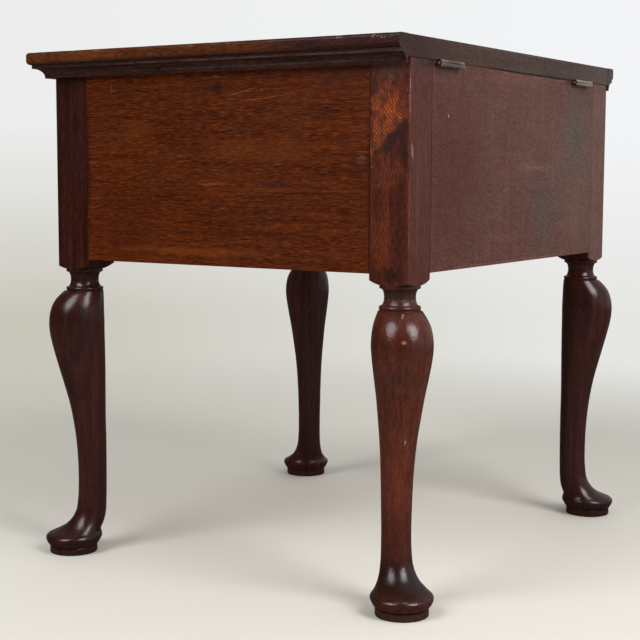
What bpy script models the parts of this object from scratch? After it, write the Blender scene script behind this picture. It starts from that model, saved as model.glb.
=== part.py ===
"""Lidded mahogany box on four cabriole legs, as an assembly of separate pieces.

Metres, +Z up. The origin is on the floor below the middle of the carcass. +Y is the hinged back, and +X is
the right end as a person at the front sees it.
"""

import math

import bmesh
import bpy
import numpy as np
from mathutils import Matrix

# Clearances and working lengths
FIT_GAP = 0.0003
CUT_OVERRUN = 0.003
MERGE_DISTANCE = 0.00001

# Carcass
OVERALL_HEIGHT = 0.500
CARCASS_WIDTH = 0.452
CARCASS_DEPTH = 0.397
PANEL_HEIGHT = 0.1824
PANEL_THICKNESS = 0.018
POST_SIZE = 0.039
TENON_LENGTH = 0.018
TENON_THICKNESS = 0.006
TENON_SHOULDER = 0.012

# Bottom boards and the bearers below them
BOTTOM_THICKNESS = 0.008
BOTTOM_CLEARANCE = 0.0005
BEARER_HEIGHT = 0.014
BEARER_THICKNESS = 0.014
BEARER_RISE = 0.002
BEARER_END_MARGIN = 0.030

# Pommel, where the square post ends above the turned neck
POMMEL_DROP = 0.0051
POMMEL_RISE = 0.0046
POMMEL_INNER_RADIUS = 0.0192
POMMEL_RUN = 0.0088
POMMEL_SHARES = ((0.0, 0.0), (0.40, 0.27), (0.75, 0.62), (1.0, 1.0))

# Turned neck
NECK_SET_OUT = 0.0020
NECK_RADIUS = 0.0138
NECK_EDGE_RADIUS = 0.0172
NECK_COVE_HEIGHT = 0.0152
NECK_FILLET_RADIUS = 0.0180
NECK_RING_RADIUS = 0.0184
NECK_BAND_HEIGHT = 0.0031
NECK_QUIRK = 0.0008
NECK_COVE_STEPS = 6
NECK_TAIL = 0.0030

# Cabriole leg: each row gives height, set-out, depth along the diagonal and breadth across it
KNEE_RADIUS = 0.0275
FOOT_SET_OUT = 0.0170
LEG_CURVE_SHARES = (
    (0.012, 0.62, 0.765, 0.805),
    (0.026, 0.39, 0.685, 0.699),
    (0.049, 0.15, 0.615, 0.600),
    (0.080, -0.035, 0.556, 0.533),
    (0.130, -0.130, 0.525, 0.495),
    (0.210, -0.175, 0.514, 0.485),
    (0.300, -0.170, 0.523, 0.499),
    (0.390, -0.125, 0.551, 0.522),
    (0.470, -0.040, 0.595, 0.557),
    (0.545, 0.063, 0.662, 0.610),
    (0.620, 0.206, 0.755, 0.685),
    (0.695, 0.358, 0.851, 0.768),
    (0.770, 0.507, 0.937, 0.876),
    (0.828, 0.600, 0.987, 0.952),
    (0.875, 0.617, 0.998, 0.989),
    (0.915, 0.584, 0.968, 0.968),
    (0.950, 0.490, 0.907, 0.906),
    (0.976, 0.351, 0.819, 0.810),
    (0.998, 0.180, 0.710, 0.704),
)

# Pad foot: each row of the pad gives height, radius and set-out
FOOT_DISC_RADIUS = 0.0238
FOOT_DISC_HEIGHT = 0.0070
FOOT_EDGE = 0.0008
PAD_RADIUS = 0.0284
PAD_HEIGHT = 0.0130
PAD_SHARES = (
    (0.0, 0.815, 0.975),
    (0.10, 0.870, 1.0),
    (0.36, 0.945, 1.0),
    (0.62, 0.989, 0.971),
    (0.85, 0.958, 0.922),
    (1.0, 0.876, 0.814),
)
TURNING_STEPS = 24

# Lid
LID_THICKNESS = 0.019
LID_OVERHANG = 0.020
LIP_GAP = 0.0046
NOSE_DROP = 0.0083
NOSE_TOP_RADIUS = 0.0030
NOSE_UNDER_RADIUS = 0.0038
FILLET_DROP = 0.0034
COVE_STEP = 0.0006
COVE_RADIUS = 0.0084
LIP_DROP = 0.0007
ARC_STEPS = 4

# Butt hinges
HINGE_LENGTH = 0.0445
HINGE_TO_RIGHT_POST = 0.0048
HINGE_TO_LEFT_POST = 0.0188
LEAF_THICKNESS = 0.0018
LEAF_REACH = 0.0130
BARREL_RADIUS = 0.0032
PIN_RADIUS = 0.0013
PIN_PROUD = 0.0004
KNUCKLE_COUNT = 3
BARREL_STEPS = 18
PIN_STEPS = 12
LEAF_SCREW_COUNT = 3
LEAF_SCREW_SETBACK = 0.0065

# Countersunk wood screws
SCREW_STEPS = 8
HEAD_RADIUS = 0.0024
HEAD_HEIGHT = 0.0014
SHANK_RADIUS = 0.0013
HEAD_RIM = 0.0002
SLOT_WIDTH = 0.0007
SLOT_DEPTH = 0.0007
SCREW_POINT = 0.0020
HINGE_SCREW_LENGTH = 0.012
BEARER_SCREW_LENGTH = 0.023
HEAD_SINK = 0.0001

# Levels and faces that follow from the sizes above
SEAM_GAP = FIT_GAP
CARCASS_TOP = OVERALL_HEIGHT - LID_THICKNESS - SEAM_GAP
PANEL_BOTTOM = CARCASS_TOP - PANEL_HEIGHT
LID_UNDERSIDE = CARCASS_TOP + SEAM_GAP
NECK_TOP = PANEL_BOTTOM - POMMEL_DROP - POMMEL_RISE
NECK_HEIGHT = NECK_QUIRK + NECK_BAND_HEIGHT + NECK_COVE_HEIGHT + NECK_BAND_HEIGHT
LEG_TOP = NECK_TOP - NECK_HEIGHT
PAD_TOP = FOOT_DISC_HEIGHT + PAD_HEIGHT
HALF_WIDTH = CARCASS_WIDTH / 2
HALF_DEPTH = CARCASS_DEPTH / 2
HALF_POST = POST_SIZE / 2
LONG_SPAN = CARCASS_WIDTH - 2 * POST_SIZE - 2 * FIT_GAP
SHORT_SPAN = CARCASS_DEPTH - 2 * POST_SIZE - 2 * FIT_GAP
PANEL_MIDDLE = (CARCASS_TOP + PANEL_BOTTOM) / 2
BEARER_BOTTOM = PANEL_BOTTOM + BEARER_RISE
BOTTOM_UNDERSIDE = BEARER_BOTTOM + BEARER_HEIGHT + FIT_GAP
MOULDING_WIDTH = LID_OVERHANG - LIP_GAP
MOULDING_HEIGHT = NOSE_DROP + NOSE_UNDER_RADIUS + FILLET_DROP + COVE_RADIUS + LIP_DROP
AXIS_Y = HALF_DEPTH + FIT_GAP + BARREL_RADIUS
AXIS_Z = LID_UNDERSIDE - FIT_GAP - LEAF_THICKNESS - SEAM_GAP / 2
KNUCKLE_PITCH = HINGE_LENGTH / KNUCKLE_COUNT
HINGE_SPACE = HALF_WIDTH - POST_SIZE - HINGE_LENGTH / 2
HINGE_MIDDLES = {"left": HINGE_TO_LEFT_POST - HINGE_SPACE, "right": HINGE_SPACE - HINGE_TO_RIGHT_POST}

# The four sides of the carcass: name, turn about Z, distance of its outer face from the middle, and span
SIDES = (
    ("back", 0, HALF_DEPTH, LONG_SPAN, 3),
    ("left", math.pi / 2, HALF_WIDTH, SHORT_SPAN, 2),
    ("front", math.pi, HALF_DEPTH, LONG_SPAN, 3),
    ("right", -math.pi / 2, HALF_WIDTH, SHORT_SPAN, 2),
)


def clear_scene():
    """Removes the objects that are in the scene."""
    for obj in list(bpy.data.objects):
        bpy.data.objects.remove(obj, do_unlink=True)


def make_collection(name, hidden):
    """Adds a collection to the scene, left out of renders if it is hidden."""
    collection = bpy.data.collections.new(name)
    collection.hide_render = hidden
    bpy.context.scene.collection.children.link(collection)
    return collection


def make_material(name, colour, roughness, metallic):
    """A plain Principled BSDF material."""
    material = bpy.data.materials.new(name)
    material.use_nodes = True
    shader = material.node_tree.nodes["Principled BSDF"]
    shader.inputs["Base Color"].default_value = (*colour, 1.0)
    shader.inputs["Roughness"].default_value = roughness
    shader.inputs["Metallic"].default_value = metallic
    return material


clear_scene()
PARTS = make_collection("lidded_box_on_legs", False)
CUTTERS = make_collection("cutters", True)
LEG_WOOD = make_material("turned_mahogany", (0.060, 0.018, 0.012), 0.28, 0.0)
PANEL_WOOD = make_material("mahogany_panel", (0.110, 0.036, 0.018), 0.38, 0.0)
LID_WOOD = make_material("mahogany_lid", (0.095, 0.034, 0.022), 0.38, 0.0)
INSIDE_WOOD = make_material("oak_lining", (0.260, 0.160, 0.085), 0.70, 0.0)
HINGE_METAL = make_material("hinge_steel", (0.300, 0.260, 0.235), 0.42, 1.0)
SCREW_METAL = make_material("screw_steel", (0.230, 0.200, 0.180), 0.45, 1.0)


def add_part(name, mesh, material, location=(0, 0, 0), rotation=(0, 0, 0), parent=None):
    """Adds a piece of the box, placed in its parent's frame."""
    obj = bpy.data.objects.new(name, mesh)
    if not mesh.materials:
        mesh.materials.append(material)
    obj.location = location
    obj.rotation_euler = rotation
    obj.parent = parent
    PARTS.objects.link(obj)
    return obj


def add_cutter(name, mesh, location=(0, 0, 0), rotation=(0, 0, 0), parent=None):
    """Adds a helper that shapes a piece and never shows."""
    obj = bpy.data.objects.new(name, mesh)
    obj.location = location
    obj.rotation_euler = rotation
    obj.parent = parent
    obj.hide_render = True
    obj.display_type = "WIRE"
    CUTTERS.objects.link(obj)
    return obj


def boolean(obj, other, operation):
    """Cuts or joins another mesh object with this one."""
    modifier = obj.modifiers.new(f"{operation.lower()} {other.name}", "BOOLEAN")
    modifier.operation = operation
    modifier.solver = "EXACT"
    modifier.object = other


def evaluated_mesh(obj, name):
    """The object's mesh with its modifiers applied, in its own frame."""
    bpy.context.view_layer.update()
    graph = bpy.context.evaluated_depsgraph_get()
    mesh = bpy.data.meshes.new_from_object(obj.evaluated_get(graph))
    mesh.name = name
    return mesh


def box_mesh(name, low, high):
    """A box between two corners."""
    shape = bmesh.new()
    bmesh.ops.create_cube(shape, size=1.0)
    size = [b - a for a, b in zip(low, high)]
    middle = [(a + b) / 2 for a, b in zip(low, high)]
    bmesh.ops.scale(shape, vec=size, verts=shape.verts)
    bmesh.ops.translate(shape, vec=middle, verts=shape.verts)
    mesh = bpy.data.meshes.new(name)
    shape.to_mesh(mesh)
    shape.free()
    return mesh


def turned_mesh(name, profile, steps, closed_loop=False):
    """A profile of (radius, height) points, listed down its outer side, turned about Z."""
    shape = bmesh.new()
    points = [shape.verts.new((radius, 0, height)) for radius, height in profile]
    for above, below in zip(points, points[1:]):
        shape.edges.new((above, below))
    if closed_loop:
        shape.edges.new((points[-1], points[0]))
    mesh = bpy.data.meshes.new(name)
    shape.to_mesh(mesh)
    shape.free()
    blank = bpy.data.objects.new(name, mesh)
    CUTTERS.objects.link(blank)
    screw = blank.modifiers.new("turning", "SCREW")
    screw.axis = "Z"
    screw.steps = steps
    screw.render_steps = steps
    screw.use_merge_vertices = True
    screw.merge_threshold = MERGE_DISTANCE
    turned = evaluated_mesh(blank, name)
    bpy.data.objects.remove(blank)
    turned.shade_smooth()
    turned.set_sharp_from_angle(angle=math.radians(35))
    return turned


def outline_mesh(name, outlines, length):
    """Closed outlines in XY, the inner ones holes, drawn out along Z from 0 to the length."""
    curve = bpy.data.curves.new(name, "CURVE")
    curve.dimensions = "2D"
    curve.fill_mode = "BOTH"
    curve.extrude = length / 2
    for outline in outlines:
        spline = curve.splines.new("POLY")
        spline.points.add(len(outline) - 1)
        for point, (x, y) in zip(spline.points, outline):
            point.co = (x, y, 0, 1)
        spline.use_cyclic_u = True
    blank = bpy.data.objects.new(name, curve)
    CUTTERS.objects.link(blank)
    mesh = evaluated_mesh(blank, name)
    bpy.data.objects.remove(blank)
    shape = bmesh.new()
    shape.from_mesh(mesh)
    bmesh.ops.remove_doubles(shape, verts=shape.verts, dist=MERGE_DISTANCE)
    bmesh.ops.translate(shape, vec=(0, 0, length / 2), verts=shape.verts)
    bmesh.ops.recalc_face_normals(shape, faces=shape.faces)
    shape.to_mesh(mesh)
    shape.free()
    return mesh


def arc(centre, radius, start, end, steps):
    """Points along a circle's arc, with angles in degrees."""
    angles = np.radians(np.linspace(start, end, steps + 1))
    return [(centre[0] + radius * math.cos(a), centre[1] + radius * math.sin(a)) for a in angles]


def spaced(count, span):
    """Places spread evenly over a span about zero, the first and last at its ends."""
    return [float(x) for x in np.linspace(-span / 2, span / 2, count)]


# Cabriole legs


def neck_rows():
    """(height, radius) up the turned neck, from the top of the knee to the top fillet."""
    ring_bottom = LEG_TOP + NECK_QUIRK
    cove_bottom = ring_bottom + NECK_BAND_HEIGHT
    cove_top = cove_bottom + NECK_COVE_HEIGHT
    groove_radius = NECK_RING_RADIUS - NECK_QUIRK
    rows = [(LEG_TOP, groove_radius), (ring_bottom, groove_radius)]
    rows += [(ring_bottom, NECK_RING_RADIUS), (cove_bottom, NECK_RING_RADIUS)]
    for i in range(NECK_COVE_STEPS + 1):
        angle = math.pi * i / NECK_COVE_STEPS
        height = (cove_bottom + cove_top - NECK_COVE_HEIGHT * math.cos(angle)) / 2
        rows.append((height, NECK_EDGE_RADIUS - (NECK_EDGE_RADIUS - NECK_RADIUS) * math.sin(angle)))
    rows += [(cove_top, NECK_FILLET_RADIUS), (NECK_TOP, NECK_FILLET_RADIUS)]
    return rows


def leg_rows():
    """(height, set-out, depth, breadth) from the floor to inside the post."""
    disc = [(0, FOOT_DISC_RADIUS - FOOT_EDGE), (FOOT_EDGE, FOOT_DISC_RADIUS)]
    disc.append((FOOT_DISC_HEIGHT, FOOT_DISC_RADIUS))
    rows = [(height, FOOT_SET_OUT, radius, radius) for height, radius in disc]
    for height, radius, set_out in PAD_SHARES:
        level = FOOT_DISC_HEIGHT + height * PAD_HEIGHT
        rows.append((level, set_out * FOOT_SET_OUT, radius * PAD_RADIUS, radius * PAD_RADIUS))
    for height, set_out, depth, breadth in LEG_CURVE_SHARES:
        level = PAD_TOP + height * (LEG_TOP - PAD_TOP)
        rows.append((level, set_out * FOOT_SET_OUT, depth * KNEE_RADIUS, breadth * KNEE_RADIUS))
    rows += [(height, NECK_SET_OUT, radius, radius) for height, radius in neck_rows()]
    rows.append((NECK_TOP + NECK_TAIL, NECK_SET_OUT, NECK_FILLET_RADIUS, NECK_FILLET_RADIUS))
    return rows


def cabriole_mesh():
    """The turned leg, then drawn out along the diagonal of the post to its knee and its pad foot."""
    rows = leg_rows()
    profile = [(breadth, height) for height, _, _, breadth in reversed(rows)]
    profile = [(0, rows[-1][0])] + profile + [(0, 0)]
    mesh = turned_mesh("cabriole", profile, TURNING_STEPS)
    heights = [row[0] for row in rows]
    set_outs = [row[1] for row in rows]
    stretches = [row[2] / row[3] for row in rows]
    for vertex in mesh.vertices:
        set_out = np.interp(vertex.co.z, heights, set_outs)
        stretch = np.interp(vertex.co.z, heights, stretches)
        along = (vertex.co.x + vertex.co.y) / 2
        across = (vertex.co.x - vertex.co.y) / 2
        along = along * stretch + set_out * math.sqrt(0.5)
        vertex.co.x = along + across
        vertex.co.y = along - across
    return mesh


def pommel_cutter_mesh():
    """What is turned away under the corners of the square post."""
    profile = [
        (POMMEL_INNER_RADIUS + run * POMMEL_RUN, NECK_TOP + rise * POMMEL_RISE)
        for run, rise in POMMEL_SHARES
    ]
    outside = POMMEL_INNER_RADIUS + POMMEL_RUN + POST_SIZE
    top = NECK_TOP + POMMEL_RISE
    bottom = NECK_TOP - CUT_OVERRUN
    loop = [(outside, top), (outside, bottom), (POMMEL_INNER_RADIUS, bottom)] + profile
    return turned_mesh("pommel_cut", loop, TURNING_STEPS, closed_loop=True)


def mortise_mesh(name):
    """The cut for a panel's tenon, in the post's face towards -X, in the leg's frame."""
    middle = HALF_POST - PANEL_THICKNESS / 2
    reach = TENON_THICKNESS / 2 + FIT_GAP
    low = (-HALF_POST - CUT_OVERRUN, middle - reach, PANEL_BOTTOM + TENON_SHOULDER - FIT_GAP)
    high = (-HALF_POST + TENON_LENGTH + FIT_GAP, middle + reach, CARCASS_TOP - TENON_SHOULDER + FIT_GAP)
    return box_mesh(name, low, high)


def leg_mesh():
    """Post, pommel, neck and cabriole leg in one piece, for the corner at +X, +Y."""
    low = (-HALF_POST, -HALF_POST, NECK_TOP)
    high = (HALF_POST, HALF_POST, CARCASS_TOP)
    post = bpy.data.objects.new("post", box_mesh("post", low, high))
    CUTTERS.objects.link(post)
    offset = NECK_SET_OUT * math.sqrt(0.5)
    pommel = add_cutter("pommel_cut", pommel_cutter_mesh(), location=(offset, offset, 0))
    mortise = add_cutter("mortise_one", mortise_mesh("mortise_one"))
    # The second mortise is the first one mirrored in the diagonal of the post.
    other = mortise_mesh("mortise_two")
    other.transform(Matrix(((0, 1, 0, 0), (1, 0, 0, 0), (0, 0, 1, 0), (0, 0, 0, 1))))
    other.flip_normals()
    other_mortise = add_cutter("mortise_two", other)
    cabriole = add_cutter("cabriole", cabriole_mesh())
    for cutter in (pommel, mortise, other_mortise):
        boolean(post, cutter, "DIFFERENCE")
    boolean(post, cabriole, "UNION")
    mesh = evaluated_mesh(post, "leg")
    for helper in (post, pommel, mortise, other_mortise, cabriole):
        bpy.data.objects.remove(helper)
    mesh.shade_smooth()
    mesh.set_sharp_from_angle(angle=math.radians(35))
    return mesh


def add_legs():
    """The four legs, which are one shape turned to each corner."""
    mesh = leg_mesh()
    corners = (("back_right", 1, 1), ("back_left", -1, 1), ("front_left", -1, -1), ("front_right", 1, -1))
    for quarter, (name, x, y) in enumerate(corners):
        place = (x * (HALF_WIDTH - HALF_POST), y * (HALF_DEPTH - HALF_POST), 0)
        add_part(f"leg_{name}", mesh, LEG_WOOD, place, (0, 0, quarter * math.pi / 2))


# Screws


def screw_profile(length, grow, head_top):
    """(radius, height) down a countersunk screw whose head is flush with height zero."""
    head = HEAD_RADIUS + grow
    shank = SHANK_RADIUS + grow
    return [
        (0, head_top),
        (head, head_top),
        (head, -HEAD_RIM),
        (shank, -HEAD_HEIGHT),
        (shank, -length + SCREW_POINT),
        (0, -length - grow),
    ]


def screw_mesh(name, length):
    """A countersunk screw with a slotted head, pointing down -Z."""
    blank = bpy.data.objects.new(name, turned_mesh(name, screw_profile(length, 0, 0), SCREW_STEPS))
    CUTTERS.objects.link(blank)
    low = (-HEAD_RADIUS - CUT_OVERRUN, -SLOT_WIDTH / 2, -SLOT_DEPTH)
    high = (HEAD_RADIUS + CUT_OVERRUN, SLOT_WIDTH / 2, CUT_OVERRUN)
    slot = add_cutter("slot", box_mesh("slot", low, high))
    boolean(blank, slot, "DIFFERENCE")
    mesh = evaluated_mesh(blank, name)
    bpy.data.objects.remove(blank)
    bpy.data.objects.remove(slot)
    mesh.shade_smooth()
    mesh.set_sharp_from_angle(angle=math.radians(35))
    return mesh


def screw_holes_mesh(name, length, places):
    """Clearance holes for screws at these places, all pointing down -Z."""
    shape = bmesh.new()
    hole = turned_mesh(name, screw_profile(length, FIT_GAP, CUT_OVERRUN), SCREW_STEPS)
    for place in places:
        start = len(shape.verts)
        shape.from_mesh(hole)
        shape.verts.ensure_lookup_table()
        bmesh.ops.translate(shape, vec=place, verts=shape.verts[start:])
    mesh = bpy.data.meshes.new(name)
    shape.to_mesh(mesh)
    shape.free()
    return mesh


# Panels, bearers and bottom boards


def add_panel(side, turn, face, span):
    """A panel between two posts, with a tenon at each end, whose outer face is at local +Y."""
    half = (span / 2, PANEL_THICKNESS / 2, PANEL_HEIGHT / 2)
    mesh = box_mesh(f"{side}_panel", [-s for s in half], half)
    distance = face - PANEL_THICKNESS / 2
    place = (-math.sin(turn) * distance, math.cos(turn) * distance, PANEL_MIDDLE)
    panel = add_part(f"{side}_panel", mesh, PANEL_WOOD, place, (0, 0, turn))
    tongue = (span / 2 + FIT_GAP + TENON_LENGTH, TENON_THICKNESS / 2, PANEL_HEIGHT / 2 - TENON_SHOULDER)
    tongue_mesh = box_mesh("tenons", [-s for s in tongue], tongue)
    tenons = add_cutter(f"{side}_tenons", tongue_mesh, place, (0, 0, turn))
    boolean(panel, tenons, "UNION")
    return panel


def add_bearer(side, turn, face, span, screw_count, panel):
    """The bearer inside a panel, and the screws that hold it there."""
    half = (span / 2, BEARER_THICKNESS / 2, BEARER_HEIGHT / 2)
    distance = face - PANEL_THICKNESS - FIT_GAP - BEARER_THICKNESS / 2
    place = (-math.sin(turn) * distance, math.cos(turn) * distance, BEARER_BOTTOM + BEARER_HEIGHT / 2)
    mesh = box_mesh(f"{side}_bearer", [-s for s in half], half)
    bearer = add_part(f"{side}_bearer", mesh, INSIDE_WOOD, place, (0, 0, turn))
    # A screw points down -Z, so a quarter turn about X points it at local +Y, from the bearer's inner face.
    rotation = (math.pi / 2, 0, turn)
    head_distance = distance - BEARER_THICKNESS / 2 + HEAD_SINK
    head = (-math.sin(turn) * head_distance, math.cos(turn) * head_distance, place[2])
    offsets = spaced(screw_count, span - 2 * BEARER_END_MARGIN)
    holes_mesh = screw_holes_mesh(f"{side}_bearer_holes", BEARER_SCREW_LENGTH, [(x, 0, 0) for x in offsets])
    holes = add_cutter(f"{side}_bearer_holes", holes_mesh, head, rotation)
    boolean(bearer, holes, "DIFFERENCE")
    boolean(panel, holes, "DIFFERENCE")
    screw = screw_mesh("bearer_screw", BEARER_SCREW_LENGTH)
    for number, x in enumerate(offsets, start=1):
        spot = (head[0] + math.cos(turn) * x, head[1] + math.sin(turn) * x, head[2])
        add_part(f"{side}_bearer_screw_{number}", screw, SCREW_METAL, spot, rotation)


def add_bottom_boards():
    """Three boards laid along X on the bearers, the outer two notched round the posts."""
    names = ("front", "middle", "back")
    reach_x = HALF_WIDTH - PANEL_THICKNESS - BOTTOM_CLEARANCE
    reach_y = HALF_DEPTH - PANEL_THICKNESS - BOTTOM_CLEARANCE
    width = (2 * reach_y - (len(names) - 1) * BOTTOM_CLEARANCE) / len(names)
    notch_x = HALF_WIDTH - POST_SIZE - BOTTOM_CLEARANCE
    notch_y = HALF_DEPTH - POST_SIZE - BOTTOM_CLEARANCE
    top = BOTTOM_UNDERSIDE + BOTTOM_THICKNESS
    for number, name in enumerate(names):
        low_y = -reach_y + number * (width + BOTTOM_CLEARANCE)
        low = (-reach_x, low_y, BOTTOM_UNDERSIDE)
        high = (reach_x, low_y + width, top)
        board = add_part(f"bottom_board_{name}", box_mesh("bottom_board", low, high), INSIDE_WOOD)
        side = number - 1
        if side == 0:
            continue
        for end in (-1, 1):
            corner = (end * notch_x, side * notch_y, BOTTOM_UNDERSIDE - CUT_OVERRUN)
            beyond = (end * HALF_WIDTH, side * HALF_DEPTH, top + CUT_OVERRUN)
            notch_low = [min(a, b) for a, b in zip(corner, beyond)]
            notch_high = [max(a, b) for a, b in zip(corner, beyond)]
            notch = add_cutter(f"{name}_notch_{end + 2}", box_mesh("notch", notch_low, notch_high))
            boolean(board, notch, "DIFFERENCE")


# Lid


def moulding_outline():
    """The moulding's section as (out, up) from its inner top corner: nose, fillet, cove and lip."""
    outer = MOULDING_WIDTH
    under = outer - NOSE_UNDER_RADIUS
    fillet_bottom = -NOSE_DROP - NOSE_UNDER_RADIUS - FILLET_DROP
    cove_outer = under - COVE_STEP
    cove_centre = (cove_outer, fillet_bottom - COVE_RADIUS)
    outline = [(0, 0), (0, -MOULDING_HEIGHT), (cove_outer - COVE_RADIUS, -MOULDING_HEIGHT)]
    outline += arc(cove_centre, COVE_RADIUS, 180, 90, ARC_STEPS + 1)
    outline += [(under, fillet_bottom)]
    outline += arc((under, -NOSE_DROP), NOSE_UNDER_RADIUS, -90, 0, ARC_STEPS)
    outline += arc((outer - NOSE_TOP_RADIUS, -NOSE_TOP_RADIUS), NOSE_TOP_RADIUS, 0, 90, ARC_STEPS - 1)
    return outline


def moulding_mesh(name, length, mitre_start, mitre_end):
    """A strip of moulding along Z, longer at its outer side by its width at each mitred end."""
    mesh = outline_mesh(name, [moulding_outline()], length)
    for vertex in mesh.vertices:
        out = vertex.co.x
        if vertex.co.z > length / 2:
            vertex.co.z += mitre_end * out
        else:
            vertex.co.z -= mitre_start * out
    return mesh


def add_lid(pivot):
    """The lid board and the mouldings glued round its ends and front. Positions are from the hinge axis."""
    edge_x = HALF_WIDTH + LIP_GAP
    edge_y = HALF_DEPTH + LIP_GAP
    low = (-edge_x + FIT_GAP, -edge_y + FIT_GAP - AXIS_Y, LID_UNDERSIDE - AXIS_Z)
    high = (edge_x - FIT_GAP, HALF_DEPTH - AXIS_Y, OVERALL_HEIGHT - AXIS_Z)
    board = add_part("lid_board", box_mesh("lid_board", low, high), LID_WOOD, parent=pivot)
    side_length = HALF_DEPTH + edge_y - FIT_GAP / 2
    front_length = 2 * edge_x - FIT_GAP
    level = OVERALL_HEIGHT - AXIS_Z
    quarter = math.pi / 2
    strips = (
        ("right", side_length, 0, 1, (edge_x, HALF_DEPTH - AXIS_Y, level), 0),
        ("left", side_length, 1, 0, (-edge_x, -edge_y + FIT_GAP / 2 - AXIS_Y, level), 2 * quarter),
        ("front", front_length, 1, 1, (front_length / 2, -edge_y - AXIS_Y, level), -quarter),
    )
    for side, length, mitre_start, mitre_end, place, turn in strips:
        mesh = moulding_mesh(f"lid_moulding_{side}", length, mitre_start, mitre_end)
        add_part(f"lid_moulding_{side}", mesh, LID_WOOD, place, (quarter, 0, turn), pivot)
    return board


# Hinges


def leaf_mesh(name, up):
    """A hinge leaf's section with its eye, drawn out along the barrel. up is 1 for the lid and -1 below it."""
    near = up * SEAM_GAP / 2
    far = near + up * LEAF_THICKNESS
    plate_end = -(AXIS_Y - HALF_DEPTH + LEAF_REACH)
    near_angle = math.degrees(math.asin(abs(near) / BARREL_RADIUS))
    far_angle = math.degrees(math.asin(abs(far) / BARREL_RADIUS))
    # The eye runs from the plate's far face round the outside of the barrel to its near face.
    eye = arc((0, 0), BARREL_RADIUS, 180 - far_angle, -180 - near_angle, BARREL_STEPS)
    if up < 0:
        eye = [(y, -z) for y, z in eye]
    outline = [(plate_end, near), (plate_end, far)] + eye
    bore = arc((0, 0), PIN_RADIUS + FIT_GAP, 0, 360, PIN_STEPS)[:-1]
    return outline_mesh(name, [outline, bore], HINGE_LENGTH)


def knuckle_gaps_mesh(name, first):
    """The spaces in one leaf for the other leaf's knuckles, along the barrel from its start."""
    shape = bmesh.new()
    reach = BARREL_RADIUS + CUT_OVERRUN
    for number in range(first, KNUCKLE_COUNT, 2):
        start = number * KNUCKLE_PITCH - FIT_GAP / 2
        end = (number + 1) * KNUCKLE_PITCH + FIT_GAP / 2
        if number == 0:
            start -= CUT_OVERRUN
        if number == KNUCKLE_COUNT - 1:
            end += CUT_OVERRUN
        low = (-BARREL_RADIUS - FIT_GAP, -reach, start)
        shape.from_mesh(box_mesh(name, low, (reach, reach, end)))
    mesh = bpy.data.meshes.new(name)
    shape.to_mesh(mesh)
    shape.free()
    return mesh


def pin_mesh():
    """The hinge pin along Z, a little proud of the barrel, with its ends eased."""
    top = HINGE_LENGTH + PIN_PROUD
    eased = PIN_RADIUS - PIN_PROUD
    profile = [(0, top), (eased, top), (PIN_RADIUS, top - PIN_PROUD)]
    profile += [(PIN_RADIUS, 0), (eased, -PIN_PROUD), (0, -PIN_PROUD)]
    return turned_mesh("hinge_pin", profile, PIN_STEPS)


def add_hinge(side, middle, panel, board, pivot):
    """One butt hinge: both leaves are let into the back panel's top edge, and the upper one holds the lid."""
    # Local X, Y, Z of the outlines become Y, Z, X of the box.
    along_x = (math.pi / 2, 0, math.pi / 2)
    start = middle - HINGE_LENGTH / 2
    world = (start, AXIS_Y, AXIS_Z)
    lower_mesh = leaf_mesh("carcass_leaf", -1)
    upper_mesh = leaf_mesh("lid_leaf", 1)
    on_lid = (start, 0, 0)
    carcass_leaf = add_part(f"hinge_{side}_carcass_leaf", lower_mesh, HINGE_METAL, world, along_x)
    lid_leaf = add_part(f"hinge_{side}_lid_leaf", upper_mesh, HINGE_METAL, on_lid, along_x, pivot)
    lower_gaps = add_cutter(f"{side}_lower_gaps", knuckle_gaps_mesh("lower_gaps", 1), world, along_x)
    upper_gaps = add_cutter(f"{side}_upper_gaps", knuckle_gaps_mesh("upper_gaps", 0), world, along_x)
    boolean(carcass_leaf, lower_gaps, "DIFFERENCE")
    boolean(lid_leaf, upper_gaps, "DIFFERENCE")
    add_part(f"hinge_{side}_pin", pin_mesh(), HINGE_METAL, world, along_x)

    depth = SEAM_GAP / 2 + LEAF_THICKNESS + FIT_GAP
    low = (start - FIT_GAP, HALF_DEPTH - LEAF_REACH - FIT_GAP, AXIS_Z - depth)
    high = (start + HINGE_LENGTH + FIT_GAP, HALF_DEPTH + CUT_OVERRUN, CARCASS_TOP + CUT_OVERRUN)
    recess = add_cutter(f"{side}_hinge_recess", box_mesh("hinge_recess", low, high))
    boolean(panel, recess, "DIFFERENCE")

    places = [(x, 0, 0) for x in spaced(LEAF_SCREW_COUNT, HINGE_LENGTH * (1 - 1 / LEAF_SCREW_COUNT))]
    screw_y = HALF_DEPTH - LEAF_SCREW_SETBACK
    lower_head = (middle, screw_y, AXIS_Z - SEAM_GAP / 2 - HEAD_SINK)
    upper_head = (middle, screw_y, AXIS_Z + SEAM_GAP / 2 + HEAD_SINK)
    holes = screw_holes_mesh("hinge_screw_holes", HINGE_SCREW_LENGTH, places)
    lower_holes = add_cutter(f"{side}_lower_holes", holes, lower_head)
    upper_holes = add_cutter(f"{side}_upper_holes", holes, upper_head, (math.pi, 0, 0))
    boolean(carcass_leaf, lower_holes, "DIFFERENCE")
    boolean(panel, lower_holes, "DIFFERENCE")
    boolean(lid_leaf, upper_holes, "DIFFERENCE")
    boolean(board, upper_holes, "DIFFERENCE")
    screw = screw_mesh("hinge_screw", HINGE_SCREW_LENGTH)
    for number, (x, _, _) in enumerate(places, start=1):
        lower = (middle + x, screw_y, lower_head[2])
        upper = (middle + x, screw_y - AXIS_Y, upper_head[2] - AXIS_Z)
        add_part(f"hinge_{side}_carcass_screw_{number}", screw, SCREW_METAL, lower)
        add_part(f"hinge_{side}_lid_screw_{number}", screw, SCREW_METAL, upper, (math.pi, 0, 0), pivot)


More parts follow.
